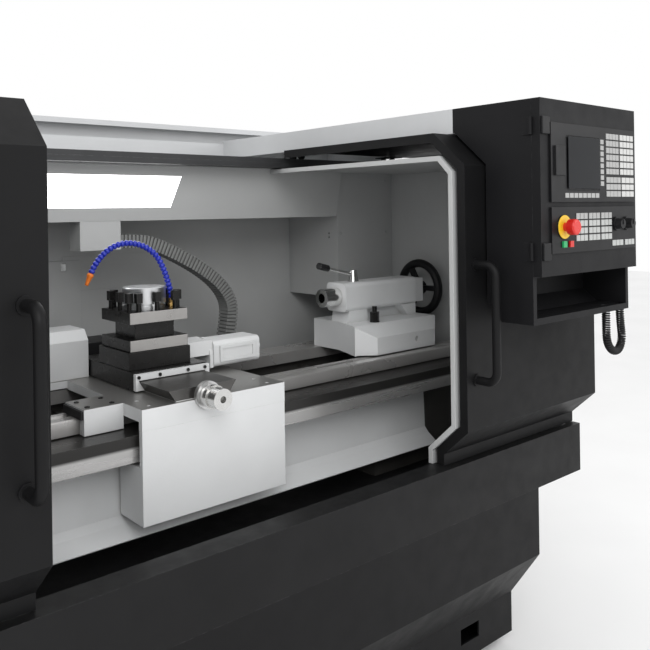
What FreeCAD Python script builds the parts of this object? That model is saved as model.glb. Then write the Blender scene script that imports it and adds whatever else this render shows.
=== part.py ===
import FreeCAD, Part
import math
import os

os.makedirs("parts", exist_ok=True)

# Driving dimensions of the lathe (mm). X runs along the bed, -Y is the operator's side, Z is up.
HALF_LENGTH = 1220.0        # half of the enclosure's overall length
AXIS_Y = 107.0              # spindle centre line
AXIS_Z = 1040.0
WAY_Z = 862.0               # top of the bed ways
TRAY_FRONT_Y = -478.0
TRAY_BACK_Y = 640.0
TRAY_TOP_Z = 645.0
TRAY_FLOOR_Z = 498.0
DRAIN_X = 1105.0            # coolant drain, outside the base
DRAIN_Y = -300.0
BASE_END_X = 990.0
BASE_BOTTOM_Z = 35.0
BASE_TOE_Y = -376.0
BASE_BACK_Y = 480.0
DOOR_Y = -533.0             # outer face of the sliding doors
DOOR_WIDTH = 622.0
DOOR_OPEN_X = 597.0         # leading edge of a fully open door
LEFT_DOOR_EDGE_X = -477.0   # the left door stands a little short of fully open
ROOF_EDGE_Y = -431.0
ROOF_Z = 1527.0             # door roof
COVER_X = 677.0             # inner end of the roof covers, also the console's left side
COVER_TOP_Z = 1597.0
COVER_BACK_Y = 702.0
BEAM_BACK_Y = 748.0         # channel along the top of the back
BEAM_TOP_Z = COVER_TOP_Z + 47
REAR_WALL_Y = 615.0
HOOD_END_X = 590.0
HOOD_TOP_Z = 1465.0
CONSOLE_RIGHT_X = 1151.0
CONSOLE_FRONT_Y = -680.0    # front of the console body, behind the hinged panel
PANEL_THICK = 25.0
PANEL_BOTTOM_Z = 1153.0
SHELF_BOTTOM_Z = 1031.0
BED_FRONT_Y = -99.0
BED_BACK_Y = 313.0
BED_END_X = 1150.0
BED_WEB_Y = -85.0           # front face of the bed below its front way
SPINDLE_NOSE_X = -470.0
HEADSTOCK_FACE_X = -520.0
HEADSTOCK_BACK_X = -1040.0
CHUCK_R = 100.0
CHUCK_LEN = 80.0
SADDLE_X0 = -151.0
SADDLE_X1 = 251.0
SADDLE_FRONT_Y = -216.0
SADDLE_TOP_Z = 885.0
SADDLE_SEAM_Z = 836.0
APRON_BOTTOM_Z = 622.0
SLIDE_X0 = -86.0
SLIDE_X1 = 124.0
SLIDE_FRONT_Y = -48.0
SLIDE_TOP_Z = 932.0
TURRET_X = 4.0
TURRET_Y = 64.0
TURRET_HALF = 82.0
TURRET_BASE_Z = 977.0      # joint plane between the turret's fixed and turning blocks
TURRET_MOTOR_Y = 69.0
TURRET_MOTOR_Z = 931.0
SCREW_Y = -150.0            # carriage ballscrew
SCREW_Z = 767.0
MOTOR_Y = 450.0             # spindle motor
QUILL_TIP_X = 658.0
QUILL_R = 30.0
TAIL_BODY_X = 722.0
TAIL_END_X = 1058.0
TAIL_CAP_LEN = 42.0
TAIL_LEVER_X = 798.0
TAIL_BASE_X0 = 692.0
TAIL_BASE_X1 = 1075.0
TAIL_BASE_Y = -58.0
TAIL_BASE_TOP = 956.0
TAIL_CLAMP_X = 812.0

# Named fits and clearances
RUN_FIT = 0.05              # radial gap of running shafts
SLIDE_GAP = 0.3             # gap between sliding faces
OPEN_GAP = 2.0              # gap between sheet parts that pass each other
SHEET = 4.0
LIP = 25.0
HOOD_RIM = 14.0            # depth of the turned edge round each hood's mouth


def box(x0, x1, y0, y1, z0, z1):
    return Part.makeBox(x1 - x0, y1 - y0, z1 - z0, FreeCAD.Vector(x0, y0, z0))


def rod(axis, x, y, z, radius, length):
    direction = {"x": (1, 0, 0), "y": (0, 1, 0), "z": (0, 0, 1)}[axis]
    return Part.makeCylinder(radius, length, FreeCAD.Vector(x, y, z), FreeCAD.Vector(*direction))


def tube(axis, x, y, z, outer, inner, length):
    return rod(axis, x, y, z, outer, length).cut(rod(axis, x, y, z, inner, length))


def face_of(points):
    vectors = [FreeCAD.Vector(*p) for p in points]
    return Part.Face(Part.makePolygon(vectors + vectors[:1]))


def prism_x(profile, x0, x1):
    return face_of([(x0, y, z) for y, z in profile]).extrude(FreeCAD.Vector(x1 - x0, 0, 0))


def prism_y(profile, y0, y1):
    return face_of([(x, y0, z) for x, z in profile]).extrude(FreeCAD.Vector(0, y1 - y0, 0))


def prism_z(profile, z0, z1):
    return face_of([(x, y, z0) for x, y in profile]).extrude(FreeCAD.Vector(0, 0, z1 - z0))


def join(*shapes):
    result = shapes[0].fuse(list(shapes[1:])) if len(shapes) > 1 else shapes[0]
    return result.removeSplitter()


def minus(shape, *tools):
    return shape.cut(list(tools)).removeSplitter()


def group(shapes):
    return Part.makeCompound(list(shapes))


def strip(points, thick):
    """Closed outline of a bent sheet that lies to the left of an open line of points."""
    normals = []
    for (ax, ay), (bx, by) in zip(points, points[1:]):
        run = math.hypot(bx - ax, by - ay)
        normals.append(((ay - by) / run, (bx - ax) / run))
    inner = []
    for i, (px, py) in enumerate(points):
        n0 = normals[max(i - 1, 0)]
        n1 = normals[min(i, len(normals) - 1)]
        share = thick / (1 + n0[0] * n1[0] + n0[1] * n1[1])
        inner.append((px + share * (n0[0] + n1[0]), py + share * (n0[1] + n1[1])))
    return list(points) + inner[::-1]


def hex_prism_z(x, y, z0, z1, across):
    radius = across / math.sqrt(3)
    corners = [math.radians(60 * i + 30) for i in range(6)]
    return prism_z([(x + radius * math.cos(a), y + radius * math.sin(a)) for a in corners], z0, z1)


def swept_tube(points, radius, bend=math.inf):
    """Round tube along straight runs with tangent arcs at the corners."""
    vectors = [FreeCAD.Vector(*p) for p in points]
    edges = []
    start = vectors[0]
    for before, corner, after in zip(vectors, vectors[1:], vectors[2:]):
        to_before = (before - corner).normalize()
        to_after = (after - corner).normalize()
        half_turn = (math.pi - to_before.getAngle(to_after)) / 2
        shorter = min((before - corner).Length, (after - corner).Length)
        reach = min(bend * math.tan(half_turn), 0.45 * shorter)
        arc_r = reach / math.tan(half_turn)
        p0 = corner + to_before * reach
        p2 = corner + to_after * reach
        inward = (to_before + to_after).normalize()
        centre = corner + inward * math.hypot(reach, arc_r)
        p1 = centre - inward * arc_r
        edges.append(Part.LineSegment(start, p0).toShape())
        edges.append(Part.Arc(p0, p1, p2).toShape())
        start = p2
    edges.append(Part.LineSegment(start, vectors[-1]).toShape())
    path = Part.Wire(edges)
    ring = Part.Wire(Part.makeCircle(radius, vectors[0], vectors[1] - vectors[0]))
    return path.makePipeShell([ring], True, True)


def save(name, shape):
    shape.exportStep(f"parts/{name}.step")


DOOR_PROFILE = [(216.0, 1525.0), (ROOF_EDGE_Y, ROOF_Z), (DOOR_Y, 1437.0), (DOOR_Y, 750.0),
                (-453.0, 677.0), (-453.0, TRAY_TOP_Z + OPEN_GAP)]
HOOD_PROFILE = [(286.0, HOOD_TOP_Z), (-455.0, HOOD_TOP_Z), (-498.0, 1421.0), (-498.0, 755.0),
                (-418.0, 681.0), (-418.0, TRAY_TOP_Z)]
RAIL_Y0 = 219.0
RAIL_Y1 = 300.0
RAIL_TOP_Z = 1500.0


# ---------------------------------------------------------------- base, tray and bed
def base_cabinet():
    wall = 6.0
    outline = [(TRAY_FRONT_Y, TRAY_FLOOR_Z), (TRAY_FRONT_Y, 302.0), (BASE_TOE_Y, 156.0),
               (BASE_TOE_Y, BASE_BOTTOM_Z), (BASE_BACK_Y, BASE_BOTTOM_Z), (BASE_BACK_Y, TRAY_FLOOR_Z)]
    inner = [(TRAY_FRONT_Y + wall, TRAY_FLOOR_Z - wall), (TRAY_FRONT_Y + wall, 304.0),
             (BASE_TOE_Y + wall, 158.0), (BASE_TOE_Y + wall, BASE_BOTTOM_Z + wall),
             (BASE_BACK_Y - wall, BASE_BOTTOM_Z + wall), (BASE_BACK_Y - wall, TRAY_FLOOR_Z - wall)]
    body = prism_x(outline, -BASE_END_X, BASE_END_X)
    web = 300.0
    bays = [(-BASE_END_X + wall, -web), (-web + wall, web - wall), (web, BASE_END_X - wall)]
    body = body.cut([prism_x(inner, x0, x1) for x0, x1 in bays])
    pockets = []
    for side in (-1, 1):
        x_mid = side * 789.0
        pockets.append(box(x_mid - 41, x_mid + 41, BASE_TOE_Y - wall, BASE_BACK_Y + wall, 80.0, 125.0))
    return minus(body, *pockets)


def levelling_feet():
    feet = []
    for x in (-860.0, 0.0, 860.0):
        for y in (-240.0, 360.0):
            pad = join(rod("z", x, y, 0, 40, 14), rod("z", x, y, 14, 22, 10),
                       hex_prism_z(x, y, 24, BASE_BOTTOM_Z, 36))
            feet.append(pad)
    return group(feet)


def coolant_tray():
    wall = SHEET
    outer = box(-HALF_LENGTH, HALF_LENGTH, TRAY_FRONT_Y, TRAY_BACK_Y, TRAY_FLOOR_Z, TRAY_TOP_Z)
    inner = box(-HALF_LENGTH + wall, HALF_LENGTH - wall, TRAY_FRONT_Y + wall, TRAY_BACK_Y - wall,
                TRAY_FLOOR_Z + wall, TRAY_TOP_Z - wall)
    mouth = box(-HALF_LENGTH + LIP, HALF_LENGTH - LIP, TRAY_FRONT_Y + 64, TRAY_BACK_Y - LIP - 20,
                TRAY_TOP_Z - 2 * wall, TRAY_TOP_Z + wall)
    drain = rod("z", DRAIN_X, DRAIN_Y, TRAY_FLOOR_Z - wall, 32, 3 * wall)
    return minus(outer, inner, mouth, drain)


def bed():
    top_front = [(BED_FRONT_Y, WAY_Z - 35), (BED_FRONT_Y, WAY_Z - 3), (-96.0, WAY_Z), (-66.0, WAY_Z),
                 (-50.0, WAY_Z - 14), (-38.0, WAY_Z - 2), (-20.0, WAY_Z - 2), (-20.0, WAY_Z - 35)]
    front_way = prism_x(top_front, HEADSTOCK_FACE_X + 20, BED_END_X)
    rear_way = box(HEADSTOCK_FACE_X + 20, BED_END_X, 205, BED_BACK_Y, WAY_Z - 35, WAY_Z)
    front_web = box(-1040, BED_END_X, BED_WEB_Y, -45, 640, WAY_Z - 35)
    rear_web = box(-1040, BED_END_X, 245, 285, 640, WAY_Z - 35)
    seat = box(-1040, HEADSTOCK_FACE_X + 20, BED_WEB_Y, BED_BACK_Y, WAY_Z - 60, WAY_Z)
    ribs = [box(x, x + 24, -45, 245, 660, WAY_Z - 60) for x in range(-1016, 1130, 210)]
    floor_z = TRAY_FLOOR_Z + SHEET
    legs = [box(x0, x1, -85, 285, floor_z, 660) for x0, x1 in ((-1040, -560), (700, BED_END_X))]
    hollows = [box(x0 + 30, x1 - 30, -55, 255, floor_z - 1, 640) for x0, x1 in ((-1040, -560),
                                                                                (700, BED_END_X))]
    body = join(front_way, rear_way, front_web, rear_web, seat, *ribs, *legs)
    return minus(body, *hollows)


def chip_pan():
    outline = strip([(-150.0, 575.0), (-112.0, 600.0), (-97.0, 616.0), (-92.0, 735.0),
                     (BED_WEB_Y, 735.0)], -3.0)
    return prism_x(outline, -545.0, 920.0)


def screw_guard():
    outline = strip([(-192.0, 763.0), (-192.0, 824.0), (BED_WEB_Y, 824.0)], -3.0)
    return prism_x(outline, -500.0, 1060.0)


# ---------------------------------------------------------------- headstock, spindle and drive
def headstock():
    y0 = -58.0
    y1 = 290.0
    top = AXIS_Z + 165
    outline = [(y0, WAY_Z), (y1, WAY_Z), (y1, top - 40), (y1 - 40, top), (y0 + 40, top), (y0, top - 40)]
    body = prism_x(outline, HEADSTOCK_BACK_X, HEADSTOCK_FACE_X)
    cavity = box(HEADSTOCK_BACK_X + 45, HEADSTOCK_FACE_X - 45, y0 + 24, y1 - 24, WAY_Z + 24, top - 24)
    bore = rod("x", HEADSTOCK_BACK_X - 1, AXIS_Y, AXIS_Z, 70, 600)
    front_ring = tube("x", HEADSTOCK_FACE_X, AXIS_Y, AXIS_Z, 105, 70, 12)
    rings = [tube("x", x, AXIS_Y, AXIS_Z, 70, 45 + RUN_FIT, 40)
             for x in (HEADSTOCK_BACK_X, HEADSTOCK_FACE_X - 40)]
    return group([join(minus(body, cavity, bore), front_ring), *rings])


def spindle():
    nose = rod("x", SPINDLE_NOSE_X - 30, AXIS_Y, AXIS_Z, 82, 30)
    shaft = rod("x", -1120.0, AXIS_Y, AXIS_Z, 45, SPINDLE_NOSE_X - 30 + 1120)
    pulley = tube("x", -1105.0, AXIS_Y, AXIS_Z, 78, 45, 50)
    rims = [tube("x", x, AXIS_Y, AXIS_Z, 84, 45, 3) for x in (-1108.0, -1055.0)]
    bore = rod("x", -1121.0, AXIS_Y, AXIS_Z, 26, 700)
    return minus(join(shaft, nose, pulley, *rims), bore)


def ring_in_x(x0, x1, outer, inner):
    return tube("x", x0, AXIS_Y, AXIS_Z, outer, inner, x1 - x0)


def turned_about_axis(shape, angle):
    copy = shape.copy()
    copy.rotate(FreeCAD.Vector(0, AXIS_Y, AXIS_Z), FreeCAD.Vector(1, 0, 0), angle)
    return copy


JAW_HALF = 16.0
JAW_BACK_X = SPINDLE_NOSE_X + CHUCK_LEN - 22
JAW_IN_R = 34.0
JAW_OUT_R = 92.0


def chuck_body():
    body = ring_in_x(SPINDLE_NOSE_X, SPINDLE_NOSE_X + CHUCK_LEN, CHUCK_R, 28)
    slot = box(JAW_BACK_X - SLIDE_GAP, SPINDLE_NOSE_X + CHUCK_LEN + 1, AXIS_Y - JAW_HALF - SLIDE_GAP,
               AXIS_Y + JAW_HALF + SLIDE_GAP, AXIS_Z + 20, AXIS_Z + CHUCK_R + 2)
    sockets = [rod("z", SPINDLE_NOSE_X + 30, AXIS_Y, AXIS_Z + CHUCK_R - 20, 8, 30)]
    tools = []
    for turn in (0, 120, 240):
        tools.append(turned_about_axis(slot, turn))
        tools.append(turned_about_axis(sockets[0], turn + 60))
    return minus(body, *tools)


def chuck_jaw(turn):
    half = JAW_HALF
    face = SPINDLE_NOSE_X + CHUCK_LEN
    key = box(JAW_BACK_X, face, AXIS_Y - half, AXIS_Y + half, AXIS_Z + JAW_IN_R, AXIS_Z + JAW_OUT_R)
    steps = [box(face, face + 45, AXIS_Y - half, AXIS_Y + half, AXIS_Z + JAW_IN_R, AXIS_Z + 54),
             box(face, face + 30, AXIS_Y - half, AXIS_Y + half, AXIS_Z + 54, AXIS_Z + 74),
             box(face, face + 15, AXIS_Y - half, AXIS_Y + half, AXIS_Z + 74, AXIS_Z + JAW_OUT_R)]
    return turned_about_axis(join(key, *steps), turn)


def main_motor():
    body = rod("x", -1020.0, MOTOR_Y, AXIS_Z, 95, 330)
    fins = [tube("x", x, MOTOR_Y, AXIS_Z, 105, 90, 10) for x in range(-990, -700, 26)]
    flange = box(-1035.0, -1020.0, MOTOR_Y - 100, MOTOR_Y + 100, AXIS_Z - 100, AXIS_Z + 100)
    terminal = box(-900.0, -800.0, MOTOR_Y - 45, MOTOR_Y + 45, AXIS_Z + 90, AXIS_Z + 150)
    stand = box(-1035.0, -720.0, MOTOR_Y - 90, MOTOR_Y + 90, TRAY_FLOOR_Z + SHEET, AXIS_Z - 85)
    hollow = box(-1010.0, -719.0, MOTOR_Y - 75, MOTOR_Y + 75, TRAY_FLOOR_Z, AXIS_Z - 110)
    bore = rod("x", -1036.0, MOTOR_Y, AXIS_Z, 19 + RUN_FIT, 60)
    return minus(join(body, flange, terminal, stand, *fins), hollow, bore)


def motor_pulley():
    shaft = rod("x", -1115.0, MOTOR_Y, AXIS_Z, 19, 130)
    wheel = tube("x", -1105.0, MOTOR_Y, AXIS_Z, 54, 19, 50)
    rims = [tube("x", x, MOTOR_Y, AXIS_Z, 60, 19, 3) for x in (-1108.0, -1055.0)]
    return join(shaft, wheel, *rims)


def belt_outline(r_front, r_rear, x0, x1):
    """Solid filling of a belt loop round the two pulleys."""
    span = MOTOR_Y - AXIS_Y
    tilt = math.asin((r_front - r_rear) / span)
    quad = []
    for sign in (1, -1):
        side = [(AXIS_Y + r_front * math.sin(tilt), AXIS_Z + sign * r_front * math.cos(tilt)),
                (MOTOR_Y + r_rear * math.sin(tilt), AXIS_Z + sign * r_rear * math.cos(tilt))]
        quad += side if sign > 0 else side[::-1]
    return join(prism_x(quad, x0, x1), rod("x", x0, AXIS_Y, AXIS_Z, r_front, x1 - x0),
                rod("x", x0, MOTOR_Y, AXIS_Z, r_rear, x1 - x0))


def drive_belt():
    thick = 5.0
    outer = belt_outline(78 + SLIDE_GAP + thick, 54 + SLIDE_GAP + thick, -1100.0, -1060.0)
    inner = belt_outline(78 + SLIDE_GAP, 54 + SLIDE_GAP, -1101.0, -1059.0)
    return minus(outer, inner)


# ---------------------------------------------------------------- carriage drive
def z_motor():
    y = SCREW_Y
    z = SCREW_Z
    body = box(-1195.0, -1050.0, y - 55, y + 55, z - 55, z + 55)
    plate = box(-1050.0, -1034.0, y - 62, BED_WEB_Y, z - 62, z + 62)
    plug = rod("z", -1175.0, y, z + 55, 15, 30)
    left = box(-1034.0, -1000.0, y - 42, BED_WEB_Y, z - 42, z + 42)
    right = box(1070.0, 1110.0, y - 42, BED_WEB_Y, z - 42, z + 42)
    bore = rod("x", -1052.0, y, z, 16 + RUN_FIT, 60)
    bore_end = rod("x", 1060.0, y, z, 16 + RUN_FIT, 60)
    return group([minus(join(body, plug, plate, left), bore), minus(right, bore_end)])


def z_ballscrew():
    core = rod("x", -1049.0, SCREW_Y, SCREW_Z, 16, 2160)
    turns = [tube("x", x, SCREW_Y, SCREW_Z, 18, 15, 5) for x in range(-980, 1050, 10)]
    return join(core, *turns)


def saddle():
    front_flange = box(SADDLE_X0, SADDLE_X1, SADDLE_FRONT_Y, SADDLE_FRONT_Y + 15, SADDLE_SEAM_Z, SADDLE_TOP_Z)
    over = box(SADDLE_X0, SADDLE_X1, SADDLE_FRONT_Y + 15, BED_FRONT_Y - 1, 856.0, SADDLE_TOP_Z)
    deck = box(SADDLE_X0, SADDLE_X1, BED_FRONT_Y - 1, 330.0, WAY_Z + SLIDE_GAP, SADDLE_TOP_Z)
    wings = [box(SADDLE_X0 - 95, SADDLE_X0, -125, -20, 866.0, SADDLE_TOP_Z),
             box(SADDLE_X0 - 95, SADDLE_X0, -125, BED_FRONT_Y - 1, SADDLE_SEAM_Z - 10, SADDLE_TOP_Z),
             box(SADDLE_X0 - 95, SADDLE_X0, 200, 330, 866.0, SADDLE_TOP_Z),
             box(SADDLE_X1, SADDLE_X1 + 30, 200, 330, 866.0, SADDLE_TOP_Z)]
    rear_hook = box(SADDLE_X0, SADDLE_X1, BED_BACK_Y + 1, 330.0, WAY_Z - 50, SADDLE_TOP_Z)
    dovetail = [(-58.0, SADDLE_TOP_Z), (92.0, SADDLE_TOP_Z), (110.0, 912.0), (-76.0, 912.0)]
    tongue = prism_y(dovetail, SADDLE_FRONT_Y + 12, 330.0)
    screw_room = rod("y", 16.0, SADDLE_FRONT_Y - 1, 893.0, 15, 560)
    oil = [rod("z", x, y, SADDLE_TOP_Z - 8, 5, 20) for x in (-120.0, 215.0) for y in (-190.0, -130.0)]
    nut_slot = box(-4.0, 36.0, -60.0, 230.0, SADDLE_TOP_Z - 7, 913.0)
    chain_arm = box(170.0, 480.0, 326.0, 385.0, 866.0, SADDLE_TOP_Z)
    return minus(join(front_flange, over, deck, rear_hook, tongue, chain_arm, *wings), screw_room,
                 nut_slot, *oil)


def apron():
    outer = box(SADDLE_X0, SADDLE_X1, SADDLE_FRONT_Y, BED_FRONT_Y - 4, APRON_BOTTOM_Z, SADDLE_SEAM_Z)
    room = box(SADDLE_X0 - 1, SADDLE_X1 + 1, SADDLE_FRONT_Y + 15, BED_FRONT_Y, 700.0, SADDLE_SEAM_Z + 1)
    cheek_l = box(SADDLE_X0, SADDLE_X0 + 20, SADDLE_FRONT_Y + 15, BED_FRONT_Y - 4, 700.0, 752.0)
    cheek_r = box(SADDLE_X1 - 20, SADDLE_X1, SADDLE_FRONT_Y + 15, BED_FRONT_Y - 4, 700.0, 752.0)
    nut = tube("x", 10.0, SCREW_Y, SCREW_Z, 30, 18 + SLIDE_GAP, 90)
    block = box(25.0, 85.0, SCREW_Y - 30, SCREW_Y + 30, 700.0, SCREW_Z - 10)
    hole = rod("x", SADDLE_X0 - 2, SCREW_Y, SCREW_Z, 18 + SLIDE_GAP, 410)
    pocket = box(SADDLE_X0 + 20, SADDLE_X1 - 20, SADDLE_FRONT_Y + 15, BED_FRONT_Y - 19,
                 APRON_BOTTOM_Z + 15, 701.0)
    shell = minus(outer, room, pocket)
    floor = box(SADDLE_X0, SADDLE_X1, SADDLE_FRONT_Y + 10, BED_FRONT_Y - 4, 690.0, 700.0)
    return minus(join(shell, floor, cheek_l, cheek_r, nut, block), hole)


def way_wipers():
    plates = []
    plates.append(box(SADDLE_X0 - 101, SADDLE_X0 - 95, -122, -20, WAY_Z + SLIDE_GAP, SADDLE_TOP_Z - 4))
    plates.append(box(SADDLE_X1, SADDLE_X1 + 6, -185, -20, WAY_Z + SLIDE_GAP, SADDLE_TOP_Z - 4))
    plates.append(box(SADDLE_X0 - 101, SADDLE_X0 - 95, 200, 330, WAY_Z + SLIDE_GAP, SADDLE_TOP_Z - 4))
    plates.append(box(SADDLE_X1 + 30, SADDLE_X1 + 36, 200, 325, WAY_Z + SLIDE_GAP, SADDLE_TOP_Z - 4))
    return group(plates)


def rear_cover():
    outline = [(206.0, SADDLE_TOP_Z), (330.0, SADDLE_TOP_Z), (330.0, 1012.0), (230.0, 1012.0), (206.0, 985.0)]
    outer = prism_x(outline, -246.0, SLIDE_X0 - 3)
    inner = box(-243.0, SLIDE_X0 - 6, 209, 327, SADDLE_TOP_Z - 1, 984.0)
    return minus(outer, inner)


def x_motor():
    body = box(-39.0, 71.0, 352.0, 482.0, 838.0, 948.0)
    flange = box(-44.0, 76.0, 330.0, 352.0, 833.0, 953.0)
    bore = rod("y", 16.0, 329.0, 893.0, 12 + RUN_FIT, 60)
    front = tube("y", 16.0, SADDLE_FRONT_Y - 12, 893.0, 33, 12 + RUN_FIT, 12)
    return group([minus(join(body, flange), bore), front])


def x_ballscrew():
    shaft = rod("y", 16.0, SADDLE_FRONT_Y - 70, 893.0, 12, 658)
    cap = rod("y", 16.0, SADDLE_FRONT_Y - 74, 893.0, 25, 61)
    knurl = rod("y", 16.0, SADDLE_FRONT_Y - 40, 893.0, 28, 12)
    hex_hole = rod("y", 16.0, SADDLE_FRONT_Y - 75, 893.0, 8, 22)
    return minus(join(shaft, cap, knurl), hex_hole)


# ---------------------------------------------------------------- cross slide and turret
def cross_slide():
    body = box(SLIDE_X0, SLIDE_X1, SLIDE_FRONT_Y, 262.0, SADDLE_TOP_Z + 2, SLIDE_TOP_Z)
    gap = SLIDE_GAP
    seat = [(-58.0 - gap, SADDLE_TOP_Z), (92.0 + gap, SADDLE_TOP_Z), (110.0 + gap, 912.0 + gap),
            (-76.0 - gap, 912.0 + gap)]
    room = prism_y(seat, SLIDE_FRONT_Y - 1, 263.0)
    nut = box(0.0, 32.0, 90.0, 150.0, SADDLE_TOP_Z - 5, 914.0)
    screw = rod("y", 16.0, 80.0, 893.0, 12 + SLIDE_GAP, 80)
    return minus(join(minus(body, room), nut), screw)


def slide_end_plate():
    gap = SLIDE_GAP
    plate = box(SLIDE_X0, SLIDE_X1, SLIDE_FRONT_Y - 12, SLIDE_FRONT_Y, SADDLE_TOP_Z + 4, SLIDE_TOP_Z - 3)
    seat = [(-60.0 - gap, SADDLE_TOP_Z), (94.0 + gap, SADDLE_TOP_Z), (112.0 + gap, 914.0 + gap),
            (-78.0 - gap, 914.0 + gap)]
    holes = [rod("y", x, SLIDE_FRONT_Y - 13, z, 4.5, 6)
             for x, z in ((-78, 922), (-20, 922), (60, 922), (110, 922), (112, 900))]
    return minus(plate, prism_y(seat, SLIDE_FRONT_Y - 13, SLIDE_FRONT_Y + 1), *holes)


def turret_base():
    x = TURRET_X
    y = TURRET_Y
    h = TURRET_HALF
    lower = box(x - h - 6, x + h + 4, y - h - 4, y + h + 6, SLIDE_TOP_Z, TURRET_BASE_Z)
    return lower


def turret_motor():
    x0 = TURRET_X + TURRET_HALF + 4
    gear_end = x0 + 100
    body_end = gear_end + 154
    y0 = TURRET_MOTOR_Y - 49
    y1 = TURRET_MOTOR_Y + 49
    z0 = TURRET_MOTOR_Z - 35
    z1 = TURRET_MOTOR_Z + 37
    gear = box(x0, gear_end, y0 + 8, y1 - 8, SLIDE_TOP_Z, z1 + 4)
    arch = join(box(gear_end - 10, gear_end, y0 + 4, y1 - 4, z0, TURRET_MOTOR_Z),
                rod("x", gear_end - 10, TURRET_MOTOR_Y, TURRET_MOTOR_Z, 44, 10))
    body = box(gear_end, body_end, y0, y1, z0, z1)
    body = body.makeFillet(15.0, [e for e in body.Edges if e.BoundBox.XLength > 100])
    frame = box(gear_end + 18, body_end - 18, y0 - 5, y0, z0 + 14, z1 - 14)
    field = box(gear_end + 26, body_end - 26, y0 - 6, y0 - 2, z0 + 22, z1 - 22)
    end = body_end - 1
    plug = join(rod("x", end, TURRET_MOTOR_Y, TURRET_MOTOR_Z, 15, 16), rod("x", end, TURRET_MOTOR_Y,
                                                                           TURRET_MOTOR_Z, 12, 30))
    return join(gear, arch, body, minus(frame, field), plug)


def turret_head():
    x = TURRET_X
    y = TURRET_Y
    h = TURRET_HALF
    z0 = TURRET_BASE_Z + SLIDE_GAP
    lower = box(x - h, x + h, y - h, y + h, z0, 1006.0)
    core = box(x - 56, x + 56, y - 56, y + 56, 1006.0, 1046.0)
    upper = box(x - h, x + h, y - h, y + h, 1046.0, 1075.0)
    return join(lower, core, upper)


def turret_cap():
    x = TURRET_X
    y = TURRET_Y
    z0 = 1075.0
    steps = join(rod("z", x, y, z0, 52, 9), rod("z", x, y, z0 + 9, 48, 6), rod("z", x, y, z0 + 15, 56, 42))
    return steps.makeChamfer(2.0, [e for e in steps.Edges if abs(e.BoundBox.ZMin - z0 - 57) < 0.01])


def turret_screws():
    screws = []
    pitch = 52.0
    h = TURRET_HALF - 13
    for side in range(4):
        for step in (-pitch, 0.0, pitch):
            angle = math.radians(90 * side)
            x = TURRET_X + step * math.cos(angle) - h * math.sin(angle)
            y = TURRET_Y + step * math.sin(angle) + h * math.cos(angle)
            screws.append(join(rod("z", x, y, 1075.0, 6, 26),
                               box(x - 8, x + 8, y - 8, y + 8, 1097.0, 1122.0)))
    return group(screws)


def coolant_hose():
    x = 72.0
    y = 38.0
    plate_z = 1075.0
    fitting = join(rod("z", x, y, plate_z, 9, 12), hex_prism_z(x, y, plate_z + 12, plate_z + 22, 20))
    path = [(x, y, plate_z + 22), (56.0, 48.0, 1190.0), (8.0, 66.0, 1243.0), (-60.0, 84.0, 1250.0),
            (-112.0, 100.0, 1205.0), (-124.0, 104.0, 1172.0)]
    hose = swept_tube(path, 8.0, 60.0)
    end = FreeCAD.Vector(*path[-1])
    run = (end - FreeCAD.Vector(*path[-2])).normalize()
    nozzle = Part.makeCone(9.0, 3.5, 34.0, end, run)
    spigot = join(rod("z", x, y, plate_z - 45, 5, 16), hex_prism_z(x, y, plate_z - 39, plate_z - 29, 14))
    return group([join(fitting, hose), nozzle, spigot])


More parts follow.
